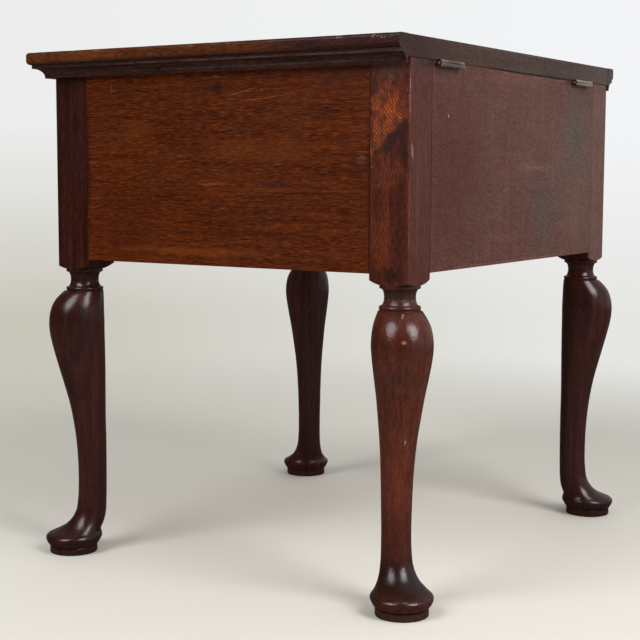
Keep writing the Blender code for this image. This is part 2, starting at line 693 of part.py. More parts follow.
def build():
    """Makes every piece of the box in its closed state."""
    add_legs()
    panels = {}
    for side, turn, face, span, screw_count in SIDES:
        panels[side] = add_panel(side, turn, face, span)
        add_bearer(side, turn, face, span, screw_count, panels[side])
    add_bottom_boards()
    pivot = bpy.data.objects.new("lid_pivot", None)
    pivot.location = (0, AXIS_Y, AXIS_Z)
    PARTS.objects.link(pivot)
    board = add_lid(pivot)
    for side, middle in HINGE_MIDDLES.items():
        add_hinge(side, middle, panels["back"], board, pivot)


build()
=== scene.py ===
"""Looks of a lidded mahogany box on cabriole legs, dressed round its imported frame.

Metres, +Z up. The back, which carries the hinges, faces +Y. +X is the right end as a person at the front
sees it. Sizes in the classes are in millimetres, and MM turns them into metres.
"""

from __future__ import annotations

import logging
import math
from dataclasses import dataclass
from enum import Enum
from functools import partial
from typing import Any, Callable, Iterable, Sequence

import bmesh
import bpy
import numpy as np
from mathutils import Euler, Matrix, Vector, noise

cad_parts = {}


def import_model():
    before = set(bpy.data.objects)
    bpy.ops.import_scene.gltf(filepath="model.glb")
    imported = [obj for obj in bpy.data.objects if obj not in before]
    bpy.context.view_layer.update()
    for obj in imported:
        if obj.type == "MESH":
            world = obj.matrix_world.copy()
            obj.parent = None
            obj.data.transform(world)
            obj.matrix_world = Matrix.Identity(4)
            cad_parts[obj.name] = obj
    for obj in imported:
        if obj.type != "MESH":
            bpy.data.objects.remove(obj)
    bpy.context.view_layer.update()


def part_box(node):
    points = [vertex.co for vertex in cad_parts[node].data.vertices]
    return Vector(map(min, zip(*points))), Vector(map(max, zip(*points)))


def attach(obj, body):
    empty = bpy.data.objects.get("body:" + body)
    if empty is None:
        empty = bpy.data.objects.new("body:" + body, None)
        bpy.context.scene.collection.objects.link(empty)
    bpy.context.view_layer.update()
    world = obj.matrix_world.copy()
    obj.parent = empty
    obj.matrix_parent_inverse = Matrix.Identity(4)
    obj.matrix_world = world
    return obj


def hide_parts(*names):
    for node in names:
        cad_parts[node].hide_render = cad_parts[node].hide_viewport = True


LOG = logging.getLogger("lidded_box")
MM = 0.001
CARCASS = "carcass"
LID = "lid"
MERGE = 0.00001
SHARP_DEG = 40.0
FIT = 0.3 * MM
# How far a cutting shape runs past what it cuts.
PAST = 3 * MM

Pair = tuple[float, float]
Triple = tuple[float, float, float]
Outline = list[Pair]
Shape = bmesh.types.BMesh
Piece = bpy.types.Object
Material = bpy.types.Material
Tree = bpy.types.NodeTree
Socket = bpy.types.NodeSocket


class GrainAxis(Enum):
    """The way a board's grain runs, as the order of the axes: along the grain, then the two across it."""

    ALONG_X = (0, 1, 2)
    ALONG_Y = (1, 2, 0)
    ALONG_Z = (2, 0, 1)


class Join(Enum):
    """What a second shape does to the first."""

    CUT = "DIFFERENCE"
    ADD = "UNION"


class Side(Enum):
    """A side of the carcass: its turn about Z from the back, and the screws that hold its bearer."""

    BACK = (0.0, 3)
    LEFT = (90.0, 2)
    FRONT = (180.0, 3)
    RIGHT = (-90.0, 2)

    @property
    def title(self) -> str:
        """Its name, as the CAD nodes have it."""
        return self.name.lower()

    @property
    def along(self) -> int:
        """The axis that it runs along."""
        return 0 if self in (Side.BACK, Side.FRONT) else 1

    @property
    def grain(self) -> GrainAxis:
        """The way that its boards' grain runs."""
        return GrainAxis.ALONG_Y if self.along else GrainAxis.ALONG_X

    @property
    def outward(self) -> Vector:
        """The way that it faces."""
        return Matrix.Rotation(math.radians(self.value[0]), 3, "Z") @ Vector((0, 1, 0))


# Shapes


def box_shape(low: Sequence[float], high: Sequence[float], ease: float = 0.0, segments: int = 2) -> Shape:
    """A box between two corners with its edges eased.

    Args:
        low: lowest corner.
        high: highest corner.
        ease: width taken off every edge.
        segments: facets across an eased edge.

    Returns:
        The box as a new bmesh.
    """
    shape = bmesh.new()
    bmesh.ops.create_cube(shape, size=1.0)
    bmesh.ops.scale(shape, vec=[b - a for a, b in zip(low, high)], verts=shape.verts)
    bmesh.ops.translate(shape, vec=[(a + b) / 2 for a, b in zip(low, high)], verts=shape.verts)
    if ease:
        ease_edges(shape, shape.edges, ease, segments)
    return shape


def ease_edges(shape: Shape, edges: Iterable[bmesh.types.BMEdge], width: float, segments: int) -> None:
    """Rounds edges.

    Args:
        shape: the mesh they belong to.
        edges: the edges to round.
        width: width of the rounding.
        segments: facets across it.
    """
    bmesh.ops.bevel(
        shape, geom=list(edges), offset=width, segments=segments, profile=0.5, affect="EDGES", material=-1
    )


def split(shape: Shape, at: Triple, facing: Triple) -> None:
    """Adds edges to a shape where a plane crosses it."""
    everything = [*shape.verts, *shape.edges, *shape.faces]
    bmesh.ops.bisect_plane(shape, geom=everything, plane_co=at, plane_no=facing, dist=MERGE)


def spun_shape(profile: Sequence[Pair], steps: int, closed: bool = False) -> Shape:
    """A profile turned about Z.

    Args:
        profile: (radius, height) points.
        steps: facets round the turn.
        closed: whether the profile is a ring that closes on itself.

    Returns:
        The turned shape as a new bmesh.
    """
    shape = bmesh.new()
    points = [shape.verts.new((radius, 0.0, height)) for radius, height in profile]
    edges = [shape.edges.new(pair) for pair in zip(points, points[1:])]
    if closed:
        edges.append(shape.edges.new((points[-1], points[0])))
    bmesh.ops.spin(
        shape, geom=points + edges, cent=(0, 0, 0), axis=(0, 0, 1), angle=2 * math.pi, steps=steps,
        use_merge=True,
    )
    bmesh.ops.remove_doubles(shape, verts=shape.verts, dist=MERGE)
    bmesh.ops.recalc_face_normals(shape, faces=shape.faces)
    return shape


def extruded_shape(outline: Outline, length: float, slices: int = 1) -> Shape:
    """A closed outline in XY drawn out along Z.

    Args:
        outline: the corners in order.
        length: how far it is drawn out.
        slices: lengths that it is made in.

    Returns:
        The prism as a new bmesh.
    """
    shape = bmesh.new()
    front = shape.faces.new([shape.verts.new((x, y, 0.0)) for x, y in outline])
    drawn = bmesh.ops.extrude_face_region(shape, geom=[front], use_keep_orig=True)
    moved = [item for item in drawn["geom"] if isinstance(item, bmesh.types.BMVert)]
    bmesh.ops.translate(shape, vec=(0, 0, length), verts=moved)
    for number in range(1, slices):
        split(shape, (0, 0, length * number / slices), (0, 0, 1))
    bmesh.ops.recalc_face_normals(shape, faces=shape.faces)
    return shape


def arc(centre: Pair, radius: float, start: float, end: float, steps: int) -> Outline:
    """Points along an arc.

    Args:
        centre: its centre.
        radius: its radius.
        start: first angle in degrees.
        end: last angle in degrees.
        steps: lengths that it is made in.

    Returns:
        The points in order.
    """
    angles = np.radians(np.linspace(start, end, steps + 1))
    return [(centre[0] + radius * math.cos(a), centre[1] + radius * math.sin(a)) for a in angles]


def placed(shape: Shape, matrix: Matrix) -> Shape:
    """Moves a shape and returns it."""
    bmesh.ops.transform(shape, matrix=matrix, verts=shape.verts)
    return shape


def to_object(shape: Shape, name: str) -> Piece:
    """Turns a bmesh into an object at the origin.

    Args:
        shape: the bmesh, which is used up.
        name: the object's name.

    Returns:
        The object.
    """
    mesh = bpy.data.meshes.new(name)
    shape.to_mesh(mesh)
    shape.free()
    obj = bpy.data.objects.new(name, mesh)
    bpy.context.scene.collection.objects.link(obj)
    return obj


def settle(piece: Piece) -> None:
    """Applies a piece's modifiers to its mesh for good.

    Args:
        piece: the piece.
    """
    bpy.context.view_layer.update()
    graph = bpy.context.evaluated_depsgraph_get()
    mesh = bpy.data.meshes.new_from_object(piece.evaluated_get(graph))
    piece.modifiers.clear()
    old = piece.data
    piece.data = mesh
    bpy.data.meshes.remove(old)
    mesh.name = piece.name


def combine(piece: Piece, shape: Shape, how: Join) -> None:
    """Cuts a shape from a piece, or adds it, for good.

    Args:
        piece: the piece that changes.
        shape: the other shape, which is used up.
        how: whether it cuts or adds.
    """
    other = to_object(shape, "helper")
    modifier = piece.modifiers.new("combine", "BOOLEAN")
    modifier.operation = how.value
    modifier.solver = "EXACT"
    modifier.object = other
    settle(piece)
    bpy.data.objects.remove(other)


def smooth_through(heights: np.ndarray, values: np.ndarray, samples: np.ndarray) -> np.ndarray:
    """A smooth curve through measured values.

    Args:
        heights: where the values were measured, rising.
        values: the values there.
        samples: where the curve is wanted.

    Returns:
        The curve at the samples, never above the largest measured value.
    """
    slopes = np.gradient(values, heights)
    start = np.clip(np.searchsorted(heights, samples, side="right") - 1, 0, len(heights) - 2)
    span = heights[start + 1] - heights[start]
    t = (samples - heights[start]) / span
    curve = (2 * t**3 - 3 * t**2 + 1) * values[start] + (t**3 - 2 * t**2 + t) * span * slopes[start]
    curve += (3 * t**2 - 2 * t**3) * values[start + 1] + (t**3 - t**2) * span * slopes[start + 1]
    return np.minimum(curve, values.max())


# Materials

# Noise in lumps per metre: where the polish is rubbed, small dents in wood, and fine scratches in metal.
RUBBED, DENTS, SCRATCHES = 28.0, 420.0, 1800.0
# Noise (along, across) the grain in millimetres: how the grain wanders, and the grime in it.
DRIFT_MM, GRIME_MM = (22.0, 7.0), (6.0, 1.7)
# The scale at which the wave texture's rings are one unit apart, and how they bend.
RINGS = {"Scale": 0.314, "Distortion": 3.2, "Detail": 3.0, "Detail Scale": 0.7}
# The mix node's sockets for colours.
MIX_FACTOR, MIX_A, MIX_B, MIX_OUT = 0, 6, 7, 2


def linear(code: str) -> tuple[float, float, float, float]:
    """An sRGB hex colour as linear light, with an alpha of 1.

    Args:
        code: the colour, such as #4b1d06.

    Returns:
        Red, green, blue and alpha.
    """
    channels = [int(code[i : i + 2], 16) / 255 for i in (1, 3, 5)]
    values = [c / 12.92 if c <= 0.04045 else ((c + 0.055) / 1.055) ** 2.4 for c in channels]
    return (*values, 1.0)


def add_node(
    tree: Tree, kind: str, inputs: dict[int | str, Any] | Sequence[Any] = (), **settings: Any
) -> bpy.types.NodeOutputs:
    """Adds a node with its settings, values and links.

    Args:
        tree: the node tree.
        kind: the node's type, without the ShaderNode that all types start with.
        inputs: what goes into its inputs, in order or by name, each a value or another node's output.
        settings: the node's own settings.

    Returns:
        The node's outputs.
    """
    node = tree.nodes.new(f"ShaderNode{kind}")
    for name, value in settings.items():
        setattr(node, name, value)
    for key, value in inputs.items() if isinstance(inputs, dict) else enumerate(inputs):
        if isinstance(value, bpy.types.NodeSocket):
            tree.links.new(value, node.inputs[key])
        else:
            node.inputs[key].default_value = value
    return node.outputs


def new_material(name: str) -> tuple[Material, Tree, Socket]:
    """Starts a material.

    Args:
        name: its name.

    Returns:
        The material, its empty tree, and the object coordinates in it.
    """
    material = bpy.data.materials.new(name)
    material.use_nodes = True
    material.node_tree.nodes.clear()
    return material, material.node_tree, add_node(material.node_tree, "TexCoord")["Object"]


def mixed(tree: Tree, amount: Socket, first: str | Socket, second: str | Socket) -> Socket:
    """Mixes the second colour into the first, each a hex code or another node's output."""
    first, second = (linear(colour) if isinstance(colour, str) else colour for colour in (first, second))
    return add_node(tree, "Mix", {MIX_FACTOR: amount, MIX_A: first, MIX_B: second}, data_type="RGBA")[MIX_OUT]


class Face(Enum):
    """A flat side that carries marks: the axis it faces along, and its place on that axis in millimetres."""

    END = (0, 226.0)
    BACK = (1, 198.5)
    NOSE = (0, 246.0)


class Edge(Enum):
    """How a mark ends: the shares of its reach where it is full and gone, and how much noise tears it."""

    SOFT = (0.0, 1.0, 0.25)
    TORN = (0.35, 1.0, 0.6)
    CRISP = (0.6, 1.0, 0.2)
    SPECKS = (-0.55, -0.1, 3.0)
    DUST = (-0.3, 0.5, 3.0)


SOFT, TORN, CRISP, SPECKS, DUST = Edge


@dataclass(frozen=True)
class Mark:
    """A place where the surface differs: an ellipsoid with its own kind of edge.

    The reach is its half size on each axis in the turned frame of the mark, and the grit is the size of
    the lumps that tear its edge, on the same axes. What it dulls is added to the roughness.
    """

    centre: Triple
    reach: Triple
    colour: str
    strength: float
    edge: Edge = TORN
    grit: Triple = (4.0, 4.0, 4.0)
    turn: Triple = (0.0, 0.0, 0.0)
    dulls: float = 0.0

    @classmethod
    def on(
        cls, face: Face, start: Pair, end: Pair, width: float, colour: str, strength: float,
        edge: Edge = TORN, grit: Pair = (4.0, 4.0),
    ) -> Mark:
        """A mark on a flat side.

        Args:
            face: the side.
            start: one end of the mark, as the position along the side and the height.
            end: its other end.
            width: its whole width.
            colour: its colour as a hex code.
            strength: how much of the wood it hides.
            edge: how it ends.
            grit: size of the lumps along and across it.

        Returns:
            The mark.
        """
        axis, plane = face.value
        middle = [(a + b) / 2 for a, b in zip(start, end)]
        half = math.dist(start, end) / 2
        slope = math.degrees(math.atan2(end[1] - start[1], end[0] - start[0]))
        if axis == 0:
            centre, reach = (plane, *middle), (3.0, half, width / 2)
            turn, lumps = (slope, 0.0, 0.0), (grit[1], grit[0], grit[1])
        else:
            centre, reach = (middle[0], plane, middle[1]), (half, 3.0, width / 2)
            turn, lumps = (0.0, -slope, 0.0), (grit[0], grit[1], grit[1])
        return cls(centre, reach, colour, strength, edge, lumps, turn)


def marks_on(face: Face, *rows: tuple) -> tuple[Mark, ...]:
    """Marks on one flat side, from rows of what Mark.on takes after the side."""
    return tuple(Mark.on(face, *row) for row in rows)


@dataclass(frozen=True)
class Figure:
    """A patch of curly figure in an ellipsoid: bent lines about a centre line, in clouds of light wood."""

    centre: Triple
    reach: Triple
    ring_centre: Triple
    light: str
    dark: str
    strength: float
    contrast: float
    turn: Triple
    spacing: float = 2.5
    edge: Edge = TORN
    grit: Triple = (7.0, 7.0, 7.0)
    cloud: float = 7.0


def inside(tree: Tree, place: Socket, mark: Mark | Figure) -> Socket:
    """How far inside a mark a point lies.

    Args:
        tree: the node tree.
        place: the point in the object's frame.
        mark: the mark.

    Returns:
        0 outside the mark, rising to its strength inside.
    """
    frame = {
        "Vector": place,
        "Location": [v * MM for v in mark.centre],
        "Rotation": [math.radians(v) for v in mark.turn],
        "Scale": [v * MM for v in mark.reach],
    }
    local = add_node(tree, "Mapping", frame, vector_type="TEXTURE")[0]
    distance = add_node(tree, "VectorMath", (local,), operation="LENGTH")["Value"]
    lumps = [reach / grit for reach, grit in zip(mark.reach, mark.grit)]
    # Each mark takes its own part of the noise, so that no two edges match.
    own = [0.37 * v for v in mark.centre]
    spread = add_node(tree, "VectorMath", (local, lumps, own), operation="MULTIPLY_ADD")[0]
    grain = add_node(tree, "TexNoise", {"Vector": spread, "Scale": 1.0, "Detail": 3.0})[0]
    core, rim, ragged = mark.edge.value
    torn = add_node(tree, "Math", (grain, 2 * ragged, distance), operation="MULTIPLY_ADD")[0]
    limits = (torn, rim + ragged, core + ragged, 0.0, mark.strength)
    return add_node(tree, "MapRange", limits, interpolation_type="SMOOTHSTEP")[0]


@dataclass(frozen=True)
class WoodFinish:
    """A wood and how its surface was made. Pairs are (along the grain, across it) in millimetres."""

    name: str
    dark: str
    middle: str
    light: str
    pore: str
    bloom: str
    bloom_strength: float = 0.0
    bloom_mm: Triple = (90.0, 90.0, 90.0)
    streak: Pair = (70.0, 5.0)
    band: Pair = (260.0, 26.0)
    band_strength: float = 0.35
    fleck: Pair = (6.0, 1.1)
    fleck_strength: float = 0.5
    glint: str | None = None
    glint_strength: float = 0.3
    fibre: Pair = (14.0, 0.9)
    fibre_strength: float = 0.25
    wander: float = 1.2
    roughness: float = 0.34
    roughness_spread: float = 0.12
    specular: float = 0.5
    relief: float = 0.12
    dimple: float = 0.0
    mottle: float = 0.12

    def material(
        self, suffix: str, axis: GrainAxis, offset: Triple, marks: Sequence[Mark] = (),
        figures: Sequence[Figure] = (),
    ) -> Material:
        """Builds the material for one board.

        Args:
            suffix: the board's name.
            axis: the way its grain runs.
            offset: where in the tree its pattern lies, so that no two boards match.
            marks: its own stains, scratches and wear, and painted highlights, shadows and reflections.
            figures: its own patches of curly figure.

        Returns:
            The material.
        """
        layers = WoodLayers(self, f"{self.name}_{suffix}", axis, offset)
        layers.add_bloom()
        for figure in figures:
            layers.add_curl(figure)
        layers.add_flecks()
        for mark in marks:
            layers.add_mark(mark)
        layers.add_grime()
        return layers.finished()


class WoodLayers:
    """One board's wood as nodes. Each method lays its own layer over the colour so far."""

    def __init__(self, finish: WoodFinish, name: str, axis: GrainAxis, offset: Triple) -> None:
        """Starts the material with its grain, its streaks of colour and the roughness of its polish.

        Args:
            finish: the wood.
            name: the material's name.
            axis: the way its grain runs.
            offset: where in the tree its pattern lies.
        """
        self.finish = finish
        self.material, self.tree, self.place = new_material(name)
        self.add = partial(add_node, self.tree)
        self.grain = self.follow_grain(axis, offset)
        self.pores = self.lumps(finish.fleck, 2.0)
        self.fibre = self.lumps(finish.fibre, 3.0)
        self.rubbed = self.add("TexNoise", {"Vector": self.place, "Scale": RUBBED, "Detail": 4.0})[0]
        half = finish.roughness_spread / 2
        low, high = finish.roughness - half, finish.roughness + half
        self.gloss = self.add("MapRange", (self.rubbed, 0.3, 0.7, low, high))[0]
        self.colour = self.streaks()

    def follow_grain(self, axis: GrainAxis, offset: Triple) -> Socket:
        """Coordinates in millimetres whose X follows the grain as it wanders a little.

        Args:
            axis: the way the grain runs.
            offset: where in the tree the pattern lies.

        Returns:
            The coordinates.
        """
        parts = self.add("SeparateXYZ", (self.place,))
        ordered = self.add("CombineXYZ", [parts[i] for i in axis.value], label="along the grain")[0]
        scaled = self.add("Mapping", {"Vector": ordered, "Location": offset, "Scale": [1 / MM] * 3})[0]
        slow = self.stretched(scaled, DRIFT_MM)
        drift = self.add("TexNoise", {"Vector": slow, "Scale": 1.0, "Detail": 2.0})["Color"]
        centred = self.add("VectorMath", (drift, (0.5, 0.5, 0.5)), operation="SUBTRACT")[0]
        swing = (0.0, 2 * self.finish.wander, 2 * self.finish.wander)
        return self.add("VectorMath", (centred, swing, scaled), operation="MULTIPLY_ADD")[0]

    def stretched(self, grain: Socket, size: Pair) -> Socket:
        """Scales grain coordinates so that one unit is the given size along and across."""
        scale = (1 / size[0], 1 / size[1], 1 / size[1])
        return self.add("VectorMath", (grain, scale), operation="MULTIPLY")[0]

    def lumps(self, size: Pair, detail: float) -> Socket:
        """Noise in lumps that follow the grain.

        Args:
            size: size of the lumps along and across the grain.
            detail: how many finer layers it has.

        Returns:
            The noise.
        """
        where = self.stretched(self.grain, size)
        pattern = {"Vector": where, "Scale": 1.0, "Detail": detail, "Roughness": 0.55}
        return self.add("TexNoise", pattern)[0]

    def swing(self, lumps: Socket, margin: float, amount: float) -> Socket:
        """A factor that swings by an amount about 1 while noise crosses a margin about its middle."""
        return self.add("MapRange", (lumps, 0.5 - margin, 0.5 + margin, 1 - amount, 1 + amount))[0]

    def shaded(self, colour: Socket, factor: Socket, label: str = "") -> Socket:
        """A colour made darker or lighter by a factor, by a node with a label."""
        return self.add("VectorMath", {0: colour, 3: factor}, operation="SCALE", label=label)[0]

    def blend(self, amount: Socket, colour: str | Socket) -> None:
        """Mixes another colour into the colour so far."""
        self.colour = mixed(self.tree, amount, self.colour, colour)

    def streaks(self) -> Socket:
        """Streaks along the grain, crossed by broad bands and by the fibre.

        Returns:
            The colour.
        """
        finish = self.finish
        colour = self.add("ValToRGB", (self.lumps(finish.streak, 5.0),))[0]
        stops = colour.node.color_ramp.elements
        stops[0].position, stops[0].color = 0.30, linear(finish.dark)
        stops[1].position, stops[1].color = 0.72, linear(finish.light)
        stops.new(0.50).color = linear(finish.middle)
        bands = self.swing(self.lumps(finish.band, 2.0), 0.15, finish.band_strength)
        fine = self.swing(self.fibre, 0.2, finish.fibre_strength)
        both = self.add("Math", (bands, fine), operation="MULTIPLY")[0]
        return self.shaded(colour, both, "bands and fibre")

    def add_bloom(self) -> None:
        """The dull grey bloom that old polish gets in clouds."""
        full = self.finish.bloom_strength
        if not full:
            return
        scale = [1 / (size * MM) for size in self.finish.bloom_mm]
        spread = self.add("VectorMath", (self.place, scale), operation="MULTIPLY")[0]
        clouds = self.add("TexNoise", {"Vector": spread, "Scale": 1.0, "Detail": 3.0})[0]
        self.blend(self.add("MapRange", (clouds, 0.35, 0.68, 0.25 * full, full))[0], self.finish.bloom)

    def add_flecks(self) -> None:
        """Dark pores and pale glints. Real pores are finer than a pixel, so these are as coarse as shows."""
        finish = self.finish
        self.blend(self.add("MapRange", (self.pores, 0.53, 0.64, 0.0, finish.fleck_strength))[0], finish.pore)
        pale = self.add("MapRange", (self.pores, 0.46, 0.34, 0.0, finish.glint_strength))[0]
        self.blend(pale, finish.glint or finish.light)

    def add_curl(self, figure: Figure) -> None:
        """Lays a patch of curly figure over the colour.

        Args:
            figure: the patch.
        """
        where = {"Location": [v * MM for v in figure.ring_centre], "Scale": [figure.spacing * MM] * 3}
        centred = self.add("Mapping", {"Vector": self.place, **where}, vector_type="TEXTURE")[0]
        waves = {"Vector": centred, **RINGS}
        rings = self.add("TexWave", waves, wave_type="RINGS", rings_direction="X")["Fac"]
        lines = self.add("MapRange", (rings, 0.50, 0.10, 0.0, figure.contrast))[0]
        spread = {"Vector": self.place, "Scale": 1 / (figure.cloud * MM), "Detail": 5.0}
        cover = self.add("MapRange", (self.add("TexNoise", spread)[0], 0.38, 0.58, 0.2, 1.0))[0]
        amount = self.add("Math", (inside(self.tree, self.place, figure), cover), operation="MULTIPLY")[0]
        self.blend(amount, mixed(self.tree, lines, figure.light, figure.dark))

    def add_mark(self, mark: Mark) -> None:
        """Lays a mark over the colour and the polish.

        Args:
            mark: the mark.
        """
        amount = inside(self.tree, self.place, mark)
        self.blend(amount, mark.colour)
        if mark.dulls:
            self.gloss = self.add("Math", (amount, mark.dulls, self.gloss), operation="MULTIPLY_ADD")[0]

    def add_grime(self) -> None:
        """The fine grime over the wood and its marks, in short lumps along the grain."""
        self.colour = self.shaded(self.colour, self.swing(self.lumps(GRIME_MM, 3.0), 0.1, self.finish.mottle))

    def finished(self) -> Material:
        """Adds the polish, with a relief of fibre, pores, dents and rubbed hollows.

        Returns:
            The material.
        """
        relief = self.fibre
        dents = self.add("TexNoise", {"Vector": self.place, "Scale": DENTS, "Detail": 3.0})[0]
        for lumps, height in ((self.pores, -0.8), (dents, self.finish.dimple), (self.rubbed, 2.5)):
            relief = self.add("Math", (lumps, height, relief), operation="MULTIPLY_ADD")[0]
        bump = self.add("Bump", {"Height": relief, "Strength": 0.5, "Distance": self.finish.relief * MM})[0]
        polish = {
            "Base Color": self.colour, "Roughness": self.gloss, "Normal": bump, "IOR": 1.5,
            "Specular IOR Level": self.finish.specular,
        }
        self.add("OutputMaterial", {"Surface": self.add("BsdfPrincipled", polish)[0]})
        return self.material


@dataclass(frozen=True)
class MetalFinish:
    """A dulled metal: base colour, a darker tarnish in patches, and fine rubbing marks."""

    name: str
    bright: str
    tarnish: str
    roughness: float
    metallic: float = 1.0
    patch_mm: float = 5.0

    def material(self, marks: Sequence[Mark] = ()) -> Material:
        """Builds the material.

        Args:
            marks: its worn spots and grime, and lines of painted reflection and painted shadow along the
                barrel.

        Returns:
            The material.
        """
        material, tree, place = new_material(self.name)
        add = partial(add_node, tree)
        patches = add("TexNoise", {"Vector": place, "Scale": 1 / (self.patch_mm * MM), "Detail": 5.0})[0]
        colour = add("ValToRGB", (patches,))[0]
        stops = colour.node.color_ramp.elements
        stops[0].position, stops[0].color = 0.36, linear(self.tarnish)
        stops[1].position, stops[1].color = 0.62, linear(self.bright)
        for mark in marks:
            colour = mixed(tree, inside(tree, place, mark), colour, mark.colour)
        rough = add("MapRange", (patches, 0.35, 0.65, self.roughness + 0.15, self.roughness))[0]
        rubbing = add("TexNoise", {"Vector": place, "Scale": SCRATCHES, "Detail": 2.0})[0]
        bump = add("Bump", {"Height": rubbing, "Strength": 0.4, "Distance": 0.05 * MM})[0]
        face = {"Base Color": colour, "Roughness": rough, "Normal": bump, "Metallic": self.metallic}
        add("OutputMaterial", {"Surface": add("BsdfPrincipled", face)[0]})
        return material


# Dense mahogany end panels: planed, oiled and waxed, so the colour is warm and the pores are dashes.
END_MAHOGANY = WoodFinish(
    name="waxed_mahogany_end", dark="#3c1403", middle="#4b1d06", light="#5c270a", pore="#260c05",
    bloom="#4a2c28", streak=(60.0, 3.4), band=(240.0, 34.0), band_strength=0.16, fleck=(10.0, 0.7),
    fleck_strength=0.62, glint="#7c4016", glint_strength=0.48, fibre=(16.0, 0.7), fibre_strength=0.26,
    wander=0.6, roughness=0.32, specular=0.14, mottle=0.14,
)
# The same wood on the back, where the polish has gone dull: a faint upright ripple and a grey bloom over it.
BACK_MAHOGANY = WoodFinish(
    name="bloomed_mahogany_back", dark="#4c2922", middle="#522d26", light="#5a342c", pore="#3e211b",
    bloom="#5e4038", bloom_strength=0.5, bloom_mm=(8.0, 8.0, 90.0), streak=(90.0, 9.0), band_strength=0.06,
    fleck_strength=0.26, glint_strength=0.18, fibre_strength=0.16, roughness=0.42, specular=0.3, mottle=0.20,
)
# Carved legs: dark straight-grained mahogany, rubbed to a gloss by hand, with small dents.
LEG_MAHOGANY = WoodFinish(
    name="polished_mahogany_leg", dark="#260e0b", middle="#32130f", light="#401a14", pore="#1c0908",
    bloom="#3a2420", streak=(110.0, 5.0), band=(200.0, 14.0), band_strength=0.18, fleck=(7.0, 1.0),
    fleck_strength=0.30, glint_strength=0.10, fibre_strength=0.12, roughness=0.24, roughness_spread=0.10,
    relief=0.06, dimple=4.0,
)
# Corner posts: the same wood, planed, with a duller polish than the legs.
POST_MAHOGANY = WoodFinish(
    name="waxed_mahogany_post", dark="#240c07", middle="#30100a", light="#3e170e", pore="#1e0a07",
    bloom="#3a2420", streak=(110.0, 5.0), band=(200.0, 14.0), band_strength=0.18, fleck=(8.0, 1.0),
    fleck_strength=0.45, glint_strength=0.25, fibre_strength=0.18, roughness=0.38, specular=0.2, mottle=0.22,
)
# The leg nearest to the camera is the most handled: redder and lighter, worn through to the wood.
WORN_LEG_MAHOGANY = WoodFinish(
    name="worn_mahogany_leg", dark="#40180f", middle="#4e2115", light="#5c2a1b", pore="#2a100c",
    bloom="#4a2c26", streak=(90.0, 4.0), band=(200.0, 14.0), band_strength=0.12, fleck=(5.0, 0.8),
    fleck_strength=0.45, glint_strength=0.20, fibre_strength=0.12, roughness=0.24, relief=0.07,
    dimple=5.0, mottle=0.18,
)
# Its post: wild grain round a knot, under the same dull polish as the other posts.
WORN_POST_MAHOGANY = WoodFinish(
    name="worn_mahogany_post", dark="#38140b", middle="#471b0f", light="#5a2716", pore="#26100a",
    bloom="#4a2c26", streak=(90.0, 4.0), band=(200.0, 14.0), band_strength=0.20, fleck=(6.0, 1.0),
    glint_strength=0.35, fibre_strength=0.22, roughness=0.36, specular=0.25, mottle=0.24,
)
# Lid: planed board with a run moulding glued round it, dusty polish.
LID_MAHOGANY = WoodFinish(
    name="polished_mahogany_lid", dark="#321d17", middle="#3b251d", light="#452d24", pore="#2a1a15",
    bloom="#463830", bloom_strength=0.40, streak=(80.0, 4.0), band_strength=0.12, fleck_strength=0.35,
    glint_strength=0.20, fibre_strength=0.14, roughness=0.38, specular=0.3, mottle=0.22,
)
# Moulding: dark polish in the hollows, worn off the nose.
MOULDING_MAHOGANY = WoodFinish(
    name="moulded_mahogany_lid", dark="#261310", middle="#301915", light="#3c211a", pore="#1c0e0b",
    bloom="#3c2c28", bloom_strength=0.30, streak=(60.0, 3.0), band_strength=0.14, fleck_strength=0.40,
    glint_strength=0.20, fibre_strength=0.16, roughness=0.32, specular=0.2, mottle=0.34,
)
# Inside faces: planed and never polished, so they are dry and a little paler.
BARE_MAHOGANY = WoodFinish(
    name="bare_mahogany_inside", dark="#4a2717", middle="#5c3320", light="#70422b", pore="#351a10",
    bloom="#5a3f31", bloom_strength=0.3, roughness=0.62, specular=0.4, relief=0.2,
)
# Oak bottom boards and bearers: dry, with open pores.
BARE_OAK = WoodFinish(
    name="bare_oak_lining", dark="#7c5a38", middle="#937047", light="#a98658", pore="#4d3520",
    bloom="#857058", bloom_strength=0.35, streak=(120.0, 3.5), fleck=(9.0, 1.0), glint_strength=0.25,
    roughness=0.72, specular=0.4, relief=0.25,
)
# Rolled hinge plate: brown-grey metal that has lost its shine. The end faces of its knuckles take a darker
# metal.
HINGE_METAL = MetalFinish("rolled_hinge_metal", "#c6b4aa", "#96847b", roughness=0.40, metallic=0.7)
JOINT_METAL = MetalFinish("dark_hinge_knuckle_ends", "#5a4a44", "#30241f", roughness=0.55, metallic=0.8)
# Turned screws, dull and darker.
SCREW_METAL = MetalFinish("turned_screw_metal", "#8c7f74", "#41362f", roughness=0.45)


def dress(
    piece: Piece, body: str, node: str, materials: Sequence[Material],
    second: Callable[[bpy.types.MeshPolygon], bool] | None = None,
) -> None:
    """Finishes a piece: its material, shading, body and the CAD node that it stands for.

    Args:
        piece: the new piece, at the origin.
        body: the body that it rides on.
        node: the CAD node that it replaces.
        materials: its material, and the second one of some faces.
        second: says of a face whether it takes the second material.
    """
    mesh = piece.data
    mesh.materials.clear()
    for material in materials:
        mesh.materials.append(material)
    for polygon in mesh.polygons:
        polygon.material_index = 1 if second and second(polygon) else 0
    mesh.shade_smooth()
    mesh.set_sharp_from_angle(angle=math.radians(SHARP_DEG))
    weighted = piece.modifiers.new("flat faces stay flat", "WEIGHTED_NORMAL")
    weighted.keep_sharp = True
    settle(piece)
    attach(piece, body)
    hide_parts(node)
    LOG.info("%s stands for %s on %s: %d faces", piece.name, node, body, len(piece.data.polygons))


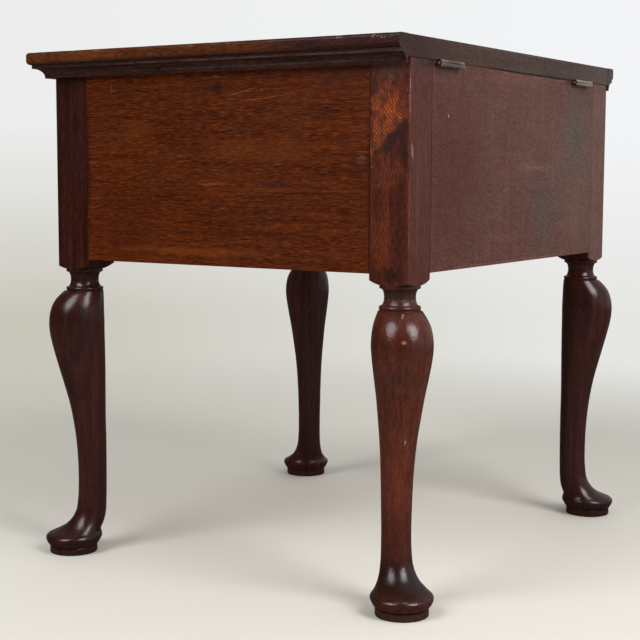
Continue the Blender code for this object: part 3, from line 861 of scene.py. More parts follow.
@dataclass(frozen=True)
class CarcassPlan:
    """The planes of the carcass, read from the frame."""

    half_width: float
    half_depth: float
    top: float
    panel_bottom: float
    post: float

    @classmethod
    def from_frame(cls) -> CarcassPlan:
        """Reads the plan from the boxes of the panels and a bearer.

        Returns:
            The plan.
        """
        back_low, back_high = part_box("back_panel")
        right_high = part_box("right_panel")[1]
        bearer_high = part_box("back_bearer")[1]
        return cls(right_high.x, back_high.y, back_high.z, back_low.z, right_high.x - bearer_high.x - FIT)


# Cabriole legs


@dataclass(frozen=True)
class LegLook:
    """One leg's finishes and marks: the glossy carved leg, and the duller post above it."""

    leg: WoodFinish
    post: WoodFinish
    leg_marks: tuple[Mark, ...] = ()
    post_marks: tuple[Mark, ...] = ()
    figures: tuple[Figure, ...] = ()
    dent: float = 0.0


@dataclass
class CabrioleLegs:
    """Four legs, each a square post, a turned neck and a cabriole leg on a pad foot, in one piece of wood.

    The curve rows give height, set-out, depth along the diagonal and breadth across it, as shares of the
    height between the pad and the neck, of the foot's set-out and of the knee's radius. The pad rows give
    height, radius and set-out, as shares of the pad's height and radius and of the foot's set-out.
    """

    plan: CarcassPlan
    knee_radius: float = 27.5
    foot_set_out: float = 17.0
    disc_radius: float = 23.8
    disc_height: float = 7.0
    disc_ease: float = 0.8
    pad_radius: float = 28.4
    pad_height: float = 13.0
    pommel_height: float = 9.7
    pommel_rise: float = 4.6
    pommel_inner: float = 19.2
    pommel_run: float = 8.8
    pommel_bend: Pair = (0.62, 0.38)
    neck_set_out: float = 2.0
    neck_radius: float = 13.8
    neck_edge: float = 17.2
    neck_ease: float = 0.35
    cove_height: float = 15.2
    ring_radius: float = 18.4
    fillet_radius: float = 18.0
    band_height: float = 3.1
    quirk: float = 0.8
    groove_share: float = 0.6
    ring_round: float = 0.9
    ring_step: float = 1.6
    steps: int = 72
    ring_pitch: float = 2.4
    post_ease: float = 0.7
    dent_drop: float = 75.0
    dent_reach: Pair = (12.0, 5.0)
    dent_cuts: tuple[float, ...] = (1.6, 3.2, 5.2, 8.0, 12.0)
    curve_shares: tuple[tuple[float, float, float, float], ...] = (
        (0.012, 0.62, 0.765, 0.805),
        (0.026, 0.39, 0.685, 0.699),
        (0.049, 0.15, 0.615, 0.600),
        (0.080, -0.035, 0.556, 0.533),
        (0.130, -0.130, 0.525, 0.495),
        (0.210, -0.175, 0.514, 0.485),
        (0.300, -0.170, 0.523, 0.499),
        (0.390, -0.125, 0.551, 0.522),
        (0.470, -0.040, 0.595, 0.557),
        (0.545, 0.063, 0.662, 0.610),
        (0.620, 0.206, 0.755, 0.685),
        (0.695, 0.358, 0.851, 0.768),
        (0.770, 0.507, 0.937, 0.876),
        (0.828, 0.600, 0.987, 0.952),
        (0.875, 0.617, 0.998, 0.989),
        (0.915, 0.584, 0.968, 0.968),
        (0.950, 0.490, 0.907, 0.906),
        (0.976, 0.351, 0.819, 0.810),
        (0.998, 0.180, 0.710, 0.704),
    )
    pad_shares: tuple[Triple, ...] = (
        (0.0, 0.815, 0.975),
        (0.10, 0.870, 1.0),
        (0.36, 0.945, 1.0),
        (0.62, 0.989, 0.971),
        (0.85, 0.958, 0.922),
        (1.0, 0.876, 0.814),
    )

    @property
    def neck_top(self) -> float:
        """Height of the top of the turned neck."""
        return self.plan.panel_bottom - self.pommel_height * MM

    @property
    def leg_top(self) -> float:
        """Height of the top of the carved leg, below the neck's ring."""
        return self.neck_top - (self.quirk + 2 * self.band_height + self.cove_height) * MM

    def carved_rows(self) -> np.ndarray:
        """The carved leg as smooth rows.

        Returns:
            Rows of (height, set-out, depth, breadth) from the pad's foot to the top of the knee.
        """
        base = self.disc_height * MM
        pad_top = base + self.pad_height * MM
        set_out, pad, knee = self.foot_set_out * MM, self.pad_radius * MM, self.knee_radius * MM
        rows = [
            (base + height * self.pad_height * MM, out * set_out, radius * pad, radius * pad)
            for height, radius, out in self.pad_shares
        ]
        rows += [
            (pad_top + height * (self.leg_top - pad_top), out * set_out, depth * knee, breadth * knee)
            for height, out, depth, breadth in self.curve_shares
        ]
        table = np.array(rows)
        heights = [table[0, 0]]
        for below, above in zip(table[:, 0], table[1:, 0]):
            count = max(2, round((above - below) / (self.ring_pitch * MM)))
            heights += list(np.linspace(below, above, count + 1)[1:])
        samples = np.array(heights)
        columns = [smooth_through(table[:, 0], table[:, i], samples) for i in (1, 2, 3)]
        return np.column_stack([samples, *columns])

    def neck_rows(self) -> list[Pair]:
        """The neck: a rounded ring, a deep cove and a fillet with eased edges.

        Returns:
            (height, radius) from the bottom up.
        """
        quirk = self.quirk * MM
        ring_low = self.leg_top + quirk
        ring_high = ring_low + self.band_height * MM
        cove_high = ring_high + self.cove_height * MM
        ring = self.ring_radius * MM
        groove = ring - self.groove_share * quirk
        bulge = self.band_height * MM / 2
        rows = [(self.leg_top, groove), (ring_low, groove)]
        for angle in np.linspace(-math.pi / 2, math.pi / 2, 9):
            radius = ring - self.ring_round * MM * (1 - math.cos(angle))
            rows.append((ring_low + bulge * (1 + math.sin(angle)), radius))
        rows.append((ring_high + 0.1 * MM, ring - self.ring_step * MM))
        for angle in np.linspace(0, math.pi, 18)[1:-1]:
            height = (ring_high + cove_high - self.cove_height * MM * math.cos(angle)) / 2
            radius = self.neck_edge - (self.neck_edge - self.neck_radius) * math.sin(angle)
            rows.append((height, radius * MM))
        fillet, ease = self.fillet_radius * MM, self.neck_ease * MM
        rows += [(cove_high, self.neck_edge * MM), (cove_high, fillet - ease), (cove_high + ease, fillet)]
        return rows + [(self.neck_top - ease, fillet), (self.neck_top, fillet - ease)]

    def cabriole(self) -> Shape:
        """The turned and carved part, from the floor to inside the post.

        Returns:
            The part, in the leg's own frame with its knee towards +X +Y.
        """
        ease, disc, out = self.disc_ease * MM, self.disc_radius * MM, self.foot_set_out * MM
        top, arris = self.disc_height * MM, 0.5 * MM
        carved = self.carved_rows()
        step = carved[0, 3] - arris
        rim = [(0.0, disc - ease), (0.3 * ease, disc - 0.3 * ease), (ease, disc)]
        rim += [(top - arris, disc), (top, disc - arris)]
        rows = [(height, out, radius, radius) for height, radius in rim]
        rows.append((top, carved[0, 1], step, step))
        rows += [tuple(row) for row in carved[1:]]
        rows += [(height, self.neck_set_out * MM, radius, radius) for height, radius in self.neck_rows()]
        inner = (self.fillet_radius - self.neck_ease) * MM
        rows.append((self.neck_top + PAST, self.neck_set_out * MM, inner, inner))
        profile = [(0.0, rows[-1][0])] + [(row[3], row[0]) for row in reversed(rows)] + [(0.0, 0.0)]
        shape = spun_shape(profile, self.steps)
        table = np.array(rows)
        for vertex in shape.verts:
            out_here = float(np.interp(vertex.co.z, table[:, 0], table[:, 1]))
            stretch = float(np.interp(vertex.co.z, table[:, 0], table[:, 2] / table[:, 3]))
            along = (vertex.co.x + vertex.co.y) / 2 * stretch + out_here * math.sqrt(0.5)
            across = (vertex.co.x - vertex.co.y) / 2
            vertex.co.x = along + across
            vertex.co.y = along - across
        return shape

    def pommel(self) -> Shape:
        """What the turner took off under the corners of the post.

        Returns:
            The ring that is cut away.
        """
        inner, run, rise = self.pommel_inner * MM, self.pommel_run * MM, self.pommel_rise * MM
        below = self.neck_top - PAST
        outside = inner + run + self.plan.post
        straight, bent = self.pommel_bend
        loop = [(outside, self.neck_top + rise), (outside, below), (inner, below)]
        for t in np.linspace(0, 1, 9):
            loop.append((inner + run * t, self.neck_top + rise * (straight * t + bent * t * t)))
        offset = self.neck_set_out * MM * math.sqrt(0.5)
        return placed(spun_shape(loop, self.steps, closed=True), Matrix.Translation((offset, offset, 0)))

    def post(self) -> Shape:
        """The square post with eased edges.

        Returns:
            The post in the leg's own frame, with its outer corner towards +X +Y.
        """
        half = self.plan.post / 2
        shape = box_shape((-half, -half, self.neck_top), (half, half, self.plan.top))
        upright = [e for e in shape.edges if abs(e.verts[0].co.z - e.verts[1].co.z) > half]
        ease_edges(shape, upright, self.post_ease * MM, 3)
        return shape

    def bruise(self, shape: Shape, depth: float) -> None:
        """Dents the outer edge of a post.

        Args:
            shape: the post.
            depth: depth of the dent in millimetres.
        """
        half = self.plan.post / 2
        middle = self.plan.top - self.dent_drop * MM
        tall, wide = (reach * MM for reach in self.dent_reach)
        for height in np.arange(-30, 31, 3.0):
            split(shape, (0, 0, middle + height * MM), (0, 0, 1))
        for inset in self.dent_cuts:
            split(shape, (half - inset * MM, 0, 0), (1, 0, 0))
        for vertex in shape.verts:
            if vertex.co.y >= half - 1.5 * MM:
                away = math.hypot((vertex.co.z - middle) / tall, (half - vertex.co.x) / wide)
                vertex.co.y -= depth * MM * math.exp(-away * away)

    def build(self) -> None:
        """Builds and dresses the four legs."""
        corners = (("back_right", 1, 1), ("back_left", -1, 1), ("front_left", -1, -1), ("front_right", 1, -1))
        half = self.plan.post / 2
        for quarter, (name, x, y) in enumerate(corners):
            look = LEG_LOOKS[name]
            post = self.post()
            if look.dent:
                self.bruise(post, look.dent)
            leg = to_object(post, f"carved_leg_{name}")
            combine(leg, self.pommel(), Join.CUT)
            for swap in (False, True):
                combine(leg, TENON.mortise(self.plan, swap), Join.CUT)
            combine(leg, self.cabriole(), Join.ADD)
            place = Vector((x * (self.plan.half_width - half), y * (self.plan.half_depth - half), 0))
            leg.data.transform(Matrix.Translation(place) @ Matrix.Rotation(quarter * math.pi / 2, 4, "Z"))
            grain = GrainAxis.ALONG_Z, (40.0 * quarter, 7.0 * quarter, 3.0)
            materials = [
                look.leg.material(f"{name}_leg", *grain, look.leg_marks),
                look.post.material(f"{name}_post", *grain, look.post_marks, look.figures),
            ]
            dress(
                leg, CARCASS, f"leg_{name}", materials,
                lambda face: face.center.z > self.neck_top + 0.1 * MM,
            )


@dataclass(frozen=True)
class Tenon:
    """The tongue on each end of a panel and the mortise that it fits, in millimetres."""

    length: float = 18.0
    thickness: float = 6.0
    shoulder: float = 12.0
    panel_thickness: float = 18.0

    def mortise(self, plan: CarcassPlan, swap: bool) -> Shape:
        """The mortise in a post's face.

        Args:
            plan: the planes of the carcass.
            swap: whether the face is the one towards -Y instead of -X.

        Returns:
            The shape that is cut away.
        """
        half = plan.post / 2
        middle = half - self.panel_thickness / 2 * MM
        reach = self.thickness / 2 * MM + FIT
        low = [-half - PAST, middle - reach, plan.panel_bottom + self.shoulder * MM - FIT]
        high = [-half + self.length * MM + FIT, middle + reach, plan.top - self.shoulder * MM + FIT]
        if swap:
            low[:2], high[:2] = low[1::-1], high[1::-1]
        return box_shape(low, high)

    def tongue(self, low: Vector, high: Vector, along: int) -> Shape:
        """The tongue through the length of a panel.

        Args:
            low: lowest corner of the panel with its tenons.
            high: highest corner.
            along: the axis that the panel runs along.

        Returns:
            The tongue.
        """
        across = 1 - along
        middle = (low[across] + high[across]) / 2
        start, end = list(low), list(high)
        start[across] = middle - self.thickness / 2 * MM
        end[across] = middle + self.thickness / 2 * MM
        start[2] += self.shoulder * MM
        end[2] -= self.shoulder * MM
        return box_shape(start, end)


TENON = Tenon()


# Screws


@dataclass(frozen=True)
class CountersunkScrew:
    """A slotted wood screw with a countersunk head, in millimetres."""

    length: float
    head_radius: float = 2.4
    head_height: float = 1.4
    shank_radius: float = 1.3
    pitch: float = 1.1
    core_share: float = 0.8
    slot_width: float = 0.7
    thread_rise: float = 0.45
    point: float = 1.6
    ease: float = 0.15
    steps: int = 24

    def shape(self) -> Shape:
        """The screw with its head's face at height 0, pointing down, with a tapered and threaded shank.

        Returns:
            The screw.
        """
        head, shank = self.head_radius * MM, self.shank_radius * MM
        core, ease = shank * self.core_share, self.ease * MM
        profile = [(0.0, 0.0), (head - ease, 0.0), (head, -ease), (shank, -self.head_height * MM)]
        for number in range(int((self.length - self.head_height - 3.0) / self.pitch)):
            level = -(self.head_height + 0.6 + number * self.pitch) * MM
            profile += [(shank, level), (core, level - self.thread_rise * MM)]
        profile += [(core, -(self.length - self.point) * MM), (0.0, -self.length * MM)]
        return spun_shape(profile, self.steps)

    def slot(self) -> Shape:
        """The slot that is sawn across the head."""
        reach, half, depth = (self.head_radius + 1) * MM, self.slot_width / 2 * MM, self.slot_width * MM
        return box_shape((-reach, -half, -depth), (reach, half, MM))

    def hole(self) -> Shape:
        """The hole for the screw, a little larger all round.

        Returns:
            The shape that is cut away.
        """
        head, shank = self.head_radius * MM + FIT, self.shank_radius * MM + FIT
        profile = [(0.0, PAST), (head, PAST), (head, -0.2 * MM), (shank, -self.head_height * MM)]
        profile += [(shank, -(self.length - 2) * MM), (0.0, -self.length * MM - FIT)]
        return spun_shape(profile, self.steps)

    def place(self, node: str, direction: Vector) -> Matrix:
        """Where a screw's head goes, from its CAD node's box.

        Args:
            node: the CAD node.
            direction: the way that the screw points.

        Returns:
            The matrix that puts the screw there.
        """
        low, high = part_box(node)
        head = (low + high) / 2
        for axis in range(3):
            if abs(direction[axis]) > 0.5:
                head[axis] = low[axis] if direction[axis] > 0 else high[axis]
        turn = Vector((0, 0, -1)).rotation_difference(direction)
        return Matrix.Translation(head) @ turn.to_matrix().to_4x4()


@dataclass(frozen=True)
class Screws:
    """All the screws, each driven to its own angle as a hand leaves it."""

    material: Material

    def drive(
        self, name: str, body: str, node: str, screw: CountersunkScrew, direction: Vector, turn: float,
        bored: Sequence[Piece],
    ) -> None:
        """Bores the pieces that a screw holds, then builds and dresses the screw.

        Args:
            name: the screw's name.
            body: the body that it rides on.
            node: the CAD node that it stands for.
            screw: its sizes.
            direction: the way that it points.
            turn: the angle of its slot in degrees.
            bored: the pieces that it holds.
        """
        place = screw.place(node, direction)
        for piece in bored:
            combine(piece, placed(screw.hole(), place), Join.CUT)
        piece = to_object(screw.shape(), name)
        combine(piece, screw.slot(), Join.CUT)
        piece.data.transform(place @ Matrix.Rotation(math.radians(turn), 4, "Z"))
        dress(piece, body, node, [self.material])


# Panels, bearers and bottom boards


@dataclass
class Panels:
    """The four panels, tenoned into the posts, and the bearers screwed inside them."""

    screws: Screws
    ease: float = 0.35
    screw: CountersunkScrew = CountersunkScrew(23.0)

    def build(self) -> dict[Side, Piece]:
        """Builds the panels, and the bearers, which it dresses.

        Returns:
            The panels, which the hinges still cut.
        """
        built = {}
        for number, side in enumerate(Side):
            name = side.title
            panel = self.panel(side)
            low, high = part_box(f"{name}_bearer")
            bearer = to_object(box_shape(low, high, self.ease * MM), f"screwed_bearer_{name}")
            for place in range(1, side.value[1] + 1):
                self.screws.drive(
                    f"bearer_screw_{name}_{place}", CARCASS, f"{name}_bearer_screw_{place}", self.screw,
                    side.outward, 37.0 * place + 71.0 * number, (panel, bearer),
                )
            oak = BARE_OAK.material(f"{name}_bearer", side.grain, (130.0 * number, 31.0 * number, 11.0))
            dress(bearer, CARCASS, f"{name}_bearer", [oak])
            built[side] = panel
        return built

    def panel(self, side: Side) -> Piece:
        """Builds a panel with its two tenons.

        Args:
            side: the side that it closes.

        Returns:
            The panel, undressed.
        """
        name = side.title
        low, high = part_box(f"{name}_panel")
        start, end = low.copy(), high.copy()
        start[side.along] += TENON.length * MM + FIT
        end[side.along] -= TENON.length * MM + FIT
        panel = to_object(box_shape(start, end, self.ease * MM), f"tenoned_panel_{name}")
        combine(panel, TENON.tongue(low, high, side.along), Join.ADD)
        return panel

    def dress(self, panels: dict[Side, Piece]) -> None:
        """Gives the panels their finishes once every cut is made.

        Args:
            panels: the panels that build made.
        """
        marks = {Side.BACK: BACK_MARKS, Side.RIGHT: END_MARKS}
        for number, (side, panel) in enumerate(panels.items()):
            name = f"{side.title}_panel"
            finish = BACK_MAHOGANY if side is Side.BACK else END_MAHOGANY
            grain = side.grain, (210.0 * number, 43.0 * number, 5.0)
            outside = finish.material(name, *grain, marks.get(side, ()))
            inside_face = BARE_MAHOGANY.material(f"{name}_inside", *grain)
            dress(
                panel, CARCASS, name, [outside, inside_face],
                lambda face, way=-side.outward: face.normal.dot(way) > 0.5,
            )


@dataclass
class BottomBoards:
    """Three loose boards laid on the bearers, the outer two notched round the posts."""

    plan: CarcassPlan
    ease: float = 0.6
    clearance: float = 0.5

    def build(self) -> None:
        """Builds and dresses the boards."""
        for number, name in enumerate(("front", "middle", "back")):
            node = f"bottom_board_{name}"
            low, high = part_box(node)
            board = to_object(box_shape(low, high, self.ease * MM), f"laid_bottom_board_{name}")
            side = number - 1
            for end in (-1, 1) if side else ():
                combine(board, self.notch(end, side, low.z, high.z), Join.CUT)
            material = BARE_OAK.material(node, GrainAxis.ALONG_X, (90.0 * number, 57.0 * number, 23.0))
            dress(board, CARCASS, node, [material])

    def notch(self, end: int, side: int, low: float, high: float) -> Shape:
        """The notch for the post at one corner.

        Args:
            end: 1 at the right end and -1 at the left.
            side: 1 at the back and -1 at the front.
            low: the board's lower face.
            high: its upper face.

        Returns:
            The shape that is cut away.
        """
        post = self.plan.post + self.clearance * MM
        beyond = (end * self.plan.half_width, side * self.plan.half_depth)
        corner = (beyond[0] - end * post, beyond[1] - side * post)
        start = [min(pair) for pair in zip(corner, beyond)] + [low - PAST]
        stop = [max(pair) for pair in zip(corner, beyond)] + [high + PAST]
        return box_shape(start, stop)


# Lid


@dataclass
class MouldedLid:
    """A planed board with a moulding mitred round its ends and front."""

    overhang: float = 15.4
    nose_drop: float = 8.3
    nose_top: float = 3.0
    nose_under: float = 3.8
    fillet: float = 3.4
    cove_step: float = 0.6
    cove_radius: float = 8.4
    height: float = 24.6
    ease: float = 0.8
    slice_mm: float = 5.0
    wear: float = 0.35
    worn_width: float = 4.2
    bruises_per_metre: Pair = (60.0, 160.0)
    unworn_share: float = 0.12
    fine_wear: Pair = (0.3, 3.1)
    board_offset: Triple = (330.0, 12.0, 4.0)

    def outline(self) -> Outline:
        """The moulding's section.

        Returns:
            (out, up) from its inner top corner.
        """
        outer = self.overhang
        under = outer - self.nose_under
        fillet_bottom = -self.nose_drop - self.nose_under - self.fillet
        cove_outer = under - self.cove_step
        points = [(0.0, 0.0), (0.0, -self.height), (cove_outer - self.cove_radius, -self.height)]
        points += arc((cove_outer, fillet_bottom - self.cove_radius), self.cove_radius, 180, 90, 10)
        points += [(under, fillet_bottom)]
        points += arc((under, -self.nose_drop), self.nose_under, -90, 0, 8)
        points += arc((outer - self.nose_top, -self.nose_top), self.nose_top, 0, 90, 6)
        return [(x * MM, y * MM) for x, y in points]

    def wear_nose(self, shape: Shape, seed: float) -> None:
        """Bruises the nose of a strip of moulding, as years of hands and knocks do.

        Args:
            shape: the strip in its own frame.
            seed: what makes its wear differ from the others'.
        """
        along, up = self.bruises_per_metre
        share, finer = self.fine_wear
        for vertex in shape.verts:
            low = vertex.co.y < -(self.nose_drop + self.nose_under) * MM
            if low or vertex.co.x < (self.overhang - self.worn_width) * MM:
                continue
            spot = Vector((vertex.co.z * along, vertex.co.y * up, seed))
            bruise = max(0.0, noise.noise(spot) - self.unworn_share)
            bruise += share * max(0.0, noise.noise(spot * finer))
            vertex.co.x -= self.wear * MM * bruise
            if vertex.co.y > -self.nose_top * MM:
                vertex.co.y -= self.wear * MM * bruise

    def strip(self, name: str, length: float, mitres: tuple[int, int], place: Matrix, seed: float) -> Piece:
        """Builds a strip of moulding.

        Args:
            name: the piece's name.
            length: its inner length.
            mitres: 1 where its start and its end are mitred, else 0.
            place: where its own frame goes: X out, Y up, Z along.
            seed: what makes its wear differ from the others'.

        Returns:
            The strip in place.
        """
        shape = extruded_shape(self.outline(), length, max(2, round(length / (self.slice_mm * MM))))
        for vertex in shape.verts:
            share = vertex.co.z / length
            vertex.co.z += vertex.co.x * (mitres[1] * share - mitres[0] * (1 - share))
        self.wear_nose(shape, seed)
        return to_object(placed(shape, place), name)

    def build(self) -> Piece:
        """Builds the board, and the mouldings, which it dresses.

        Returns:
            The board, which the hinges still cut.
        """
        low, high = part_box("lid_board")
        board = to_object(box_shape(low, high, self.ease * MM, 3), "planed_lid_board")
        quarter = math.pi / 2
        end_length, front_length = high.y - low.y + FIT / 2, high.x - low.x + FIT
        along_x, along_y = GrainAxis.ALONG_X, GrainAxis.ALONG_Y
        strips = (
            ("right", (high.x + FIT, high.y, high.z), (0, 1), 0.0, end_length, along_y),
            ("left", (low.x - FIT, low.y - FIT / 2, high.z), (1, 0), 2 * quarter, end_length, along_y),
            ("front", (high.x + FIT / 2, low.y - FIT, high.z), (1, 1), -quarter, front_length, along_x),
        )
        for number, (side, corner, mitres, turn, length, grain) in enumerate(strips):
            place = Matrix.Translation(corner) @ Euler((quarter, 0, turn)).to_matrix().to_4x4()
            strip = self.strip(f"run_moulding_{side}", length, mitres, place, 17.0 * number)
            offset = (60.0 * number, 19.0, 7.0)
            material = MOULDING_MAHOGANY.material(f"moulding_{side}", grain, offset, MOULDING_MARKS[side])
            dress(
                strip, LID, f"lid_moulding_{side}", [material, self.board_material()],
                lambda face: face.normal.y > 0.9,
            )
        return board

    def board_material(self) -> Material:
        """The board's outside, which the mouldings' sawn back ends share. It is made once."""
        made = bpy.data.materials.get(f"{LID_MAHOGANY.name}_board")
        return made or LID_MAHOGANY.material("board", GrainAxis.ALONG_X, self.board_offset, LID_MARKS)

    def dress(self, board: Piece) -> None:
        """Gives the board its finish once the hinges are let in.

        Args:
            board: the board that build made.
        """
        underside = BARE_MAHOGANY.material("board_underside", GrainAxis.ALONG_X, self.board_offset)
        materials = [self.board_material(), underside]
        dress(board, LID, "lid_board", materials, lambda face: face.normal.z < -0.5)


# Hinges


@dataclass
class ButtHinge:
    """A butt hinge with three knuckles, let into the back panel's top edge and screwed under the lid."""

    side: str
    metal: Material
    joint_metal: Material
    screws: Screws
    plate: float = 1.8
    barrel: float = 3.2
    pin: float = 1.3
    pin_proud: float = 0.4
    reach: float = 13.0
    knuckles: int = 3
    gap: float = 0.12
    steps: int = 24
    screw: CountersunkScrew = CountersunkScrew(12.0)

    def axis(self) -> tuple[Matrix, float]:
        """The frame of the barrel, with Z along it from its start, and its length.

        Returns:
            The frame as a matrix, and the length.
        """
        low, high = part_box(f"hinge_{self.side}_pin")
        proud = self.pin_proud * MM
        start = Vector((low.x + proud, *((low + high) / 2).yz))
        turn = Euler((math.pi / 2, 0, math.pi / 2)).to_matrix().to_4x4()
        return Matrix.Translation(start) @ turn, high.x - low.x - 2 * proud

    def leaf(self, up: int, name: str, frame: Matrix, length: float) -> Piece:
        """A leaf: its plate, its eyes and the gaps for the other leaf's eyes.

        Args:
            up: 1 for the leaf under the lid and -1 for the one on the carcass.
            name: the piece's name.
            frame: the frame of the barrel.
            length: the length of the barrel.

        Returns:
            The leaf in place, without screw holes.
        """
        barrel, bore = self.barrel * MM, self.pin * MM + FIT
        near, far = up * FIT / 2, up * (FIT / 2 + self.plate * MM)
        near_angle, far_angle = (math.degrees(math.asin(abs(level) / barrel)) for level in (near, far))
        end = -(frame.translation.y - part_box("back_panel")[1].y + self.reach * MM)
        eye = arc((0.0, 0.0), barrel, 180 - far_angle, -180 - near_angle, 40)
        outline = [(end, near), (end, far)] + [(x, y if up > 0 else -y) for x, y in eye]
        leaf = to_object(extruded_shape(outline, length), name)
        hole = [(0.0, length + MM), (bore, length + MM), (bore, -MM), (0.0, -MM)]
        combine(leaf, spun_shape(hole, self.steps), Join.CUT)
        pitch, reach = length / self.knuckles, barrel + PAST
        for number in range(0 if up > 0 else 1, self.knuckles, 2):
            low = number * pitch - self.gap * MM / 2 - (PAST if number == 0 else 0)
            high = (number + 1) * pitch + self.gap * MM / 2 + (PAST if number == self.knuckles - 1 else 0)
            combine(leaf, box_shape((-barrel - FIT, -reach, low), (reach, reach, high)), Join.CUT)
        leaf.data.transform(frame)
        return leaf

    def rivet(self, length: float) -> Shape:
        """The pin along Z, with its riveted ends a little proud and domed.

        Args:
            length: the length of the barrel.

        Returns:
            The pin.
        """
        radius, proud = self.pin * MM, self.pin_proud * MM
        dome = [(radius * math.sin(a), proud * math.cos(a)) for a in np.linspace(0, math.pi / 2, 6)]
        profile = [(r, length + h) for r, h in dome] + [(r, -h) for r, h in reversed(dome)]
        return spun_shape(profile, self.steps)

    def build(self, panel: Piece, board: Piece) -> None:
        """Builds the hinge, lets it into the panel and bores the lid's board for its screws.

        Args:
            panel: the back panel.
            board: the lid's board.
        """
        frame, length = self.axis()
        start, back = frame.translation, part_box("back_panel")[1]
        low = (start.x - FIT, back.y - self.reach * MM - FIT, start.z - self.plate * MM - 1.5 * FIT)
        combine(panel, box_shape(low, (start.x + length + FIT, back.y + PAST, back.z + PAST)), Join.CUT)
        for part, up, body, target in (("carcass", -1, CARCASS, panel), ("lid", 1, LID, board)):
            name = f"{self.side}_{part}"
            leaf = self.leaf(up, f"rolled_leaf_{name}", frame, length)
            for number in (1, 2, 3):
                self.screws.drive(
                    f"leaf_screw_{name}_{number}", body, f"hinge_{name}_screw_{number}", self.screw,
                    Vector((0, 0, up)), 53.0 * number + 20.0 * up, (leaf, target),
                )
            dress(
                leaf, body, f"hinge_{name}_leaf", [self.metal, self.joint_metal],
                lambda face: abs(face.normal.x) > 0.9,
            )
        pin = to_object(placed(self.rivet(length), frame), f"riveted_pin_{self.side}")
        dress(pin, CARCASS, f"hinge_{self.side}_pin", [self.metal])


# Marks of use, and some painted highlights, shadows and reflections, placed where the surfaces show them.
# Positions are in millimetres in the object's frame.

END_MARKS = marks_on(
    Face.END,
    ((-150, 312), (92, 310), 10, "#763a14", 0.40, TORN, (16, 3)),
    ((-158, 296), (-158, 482), 12, "#200a05", 0.65, SOFT),
    ((158, 296), (158, 482), 5, "#260e08", 0.40, SOFT),
    ((-9, 461), (8, 461), 16, "#1c0c07", 0.65, TORN, (6, 3)),
    ((-7, 471), (2, 471), 3.4, "#7c5030", 0.45, TORN, (4, 2)),
    ((45, 457), (50, 457.4), 3.6, "#80543f", 0.50, SOFT),
    ((4, 452), (50, 462), 1.1, "#8a5538", 0.50, TORN, (3, 2)),
    ((14, 447), (82, 453.6), 1.1, "#8a5538", 0.55, TORN, (3, 2)),
    ((-29, 373), (10, 374.8), 4, "#84401a", 0.50, TORN, (8, 2)),
    ((34, 373.7), (96, 373.7), 13, "#30121a", 0.45, SOFT),
    ((60, 366), (110, 366), 1.6, "#2c0e0e", 0.6, TORN, (5, 2)),
    ((149, 372), (149.6, 404), 20, "#34161c", 0.45, SOFT),
    ((146, 398), (158, 398), 18, "#6a5048", 0.40, DUST, (8, 1.2)),
    ((-127.6, 456), (-127, 472), 2, "#8a5536", 0.45, SOFT),
    ((-70, 444), (-69.8, 467), 2, "#30100a", 0.5, TORN),
    ((90, 466), (168, 470), 26, "#3c1c12", 0.45, SOFT),
    ((-120, 425), (-70, 420), 26, "#66300f", 0.35, TORN, (14, 3)),
    ((-150, 440), (-60, 432), 5, "#2c0f06", 0.40, TORN, (14, 3)),
    ((-30, 402), (130, 408), 30, "#6c3412", 0.32, TORN, (18, 3)),
    ((-140, 354), (-40, 356), 5, "#2c0f06", 0.40, TORN, (16, 3)),
    ((-60, 332), (150, 326), 9, "#320f04", 0.35, TORN, (18, 3)),
    ((-170, 332), (-50, 324), 90, "#3c1002", 0.45, SOFT),
)
BACK_MARKS = (
    Mark((150, 198.5, 390), (120, 9, 150), "#471d17", 0.75, SOFT, (30, 9, 30)),
    Mark((-150, 198.5, 370), (110, 9, 150), "#5c4238", 0.75, SOFT, (30, 9, 30)),
    *marks_on(
        Face.BACK,
        ((-204, 430), (-76, 420), 140, "#4a4039", 0.75, SOFT, (24, 24)),
        ((-118, 330), (4, 362), 130, "#4a3c34", 0.70, SOFT, (24, 24)),
        ((124, 472), (-94, 476), 16, "#6c4038", 0.40, SOFT, (20, 9)),
        ((212, 480), (150, 477), 14, "#35241f", 0.80, SOFT),
        ((96, 352), (40, 420), 60, "#4c2828", 0.30, SOFT, (20, 20)),
        ((185.3, 405.8), (119, 416.4), 1.5, "#2c120f", 0.75, TORN, (5, 2)),
        ((48, 391.3), (-118, 388), 10, "#6c4a43", 0.40, SOFT, (14, 6)),
        ((44, 368), (24, 369), 3.0, "#70504a", 0.35, TORN, (6, 2)),
        ((156.3, 435.8), (154.6, 432.8), 1.8, "#b09a92", 0.80, CRISP),
        ((153.6, 435.2), (152.4, 432.6), 2.0, "#240f0d", 0.80, CRISP),
        ((160, 326), (155, 338), 5, "#34150f", 0.45, TORN),
        ((180, 300.2), (-186, 300.2), 2.0, "#7a5246", 0.40, TORN, (20, 3)),
        # A pale line along the panel's top edge: a painted highlight.
        ((112, 478.4), (-130, 478.4), 1.6, "#7c5a50", 0.45, DUST, (9, 2)),
        # A dark line along the panel's top, under the lid: a painted shadow in the gap.
        ((137, 480.6), (-186, 480.6), 2.4, "#160b09", 0.92, TORN, (30, 2)),
        ((187, 296), (187, 482), 2.2, "#2c1411", 0.55, SOFT),
    ),
)
NEAR_POST_FIGURES = (
    Figure((226, 170, 325), (3, 16, 44), (226, 70, 300), "#6c2f0c", "#340f06", 0.75, 0.75, (5, 0, 0)),
    Figure((226, 177, 382), (3, 26, 17), (226, 120, 440), "#6c2f14", "#320f08", 0.70, 0.85, (32, 0, 0)),
    Figure((226, 168, 411), (3, 15, 20), (226, 204, 456), "#904618", "#461506", 0.90, 0.85, (-20, 0, 0)),
    Figure((226, 178, 437), (3, 24, 27), (226, 204, 456), "#a04c1c", "#561c08", 0.95, 0.90, (-12, 0, 0)),
)
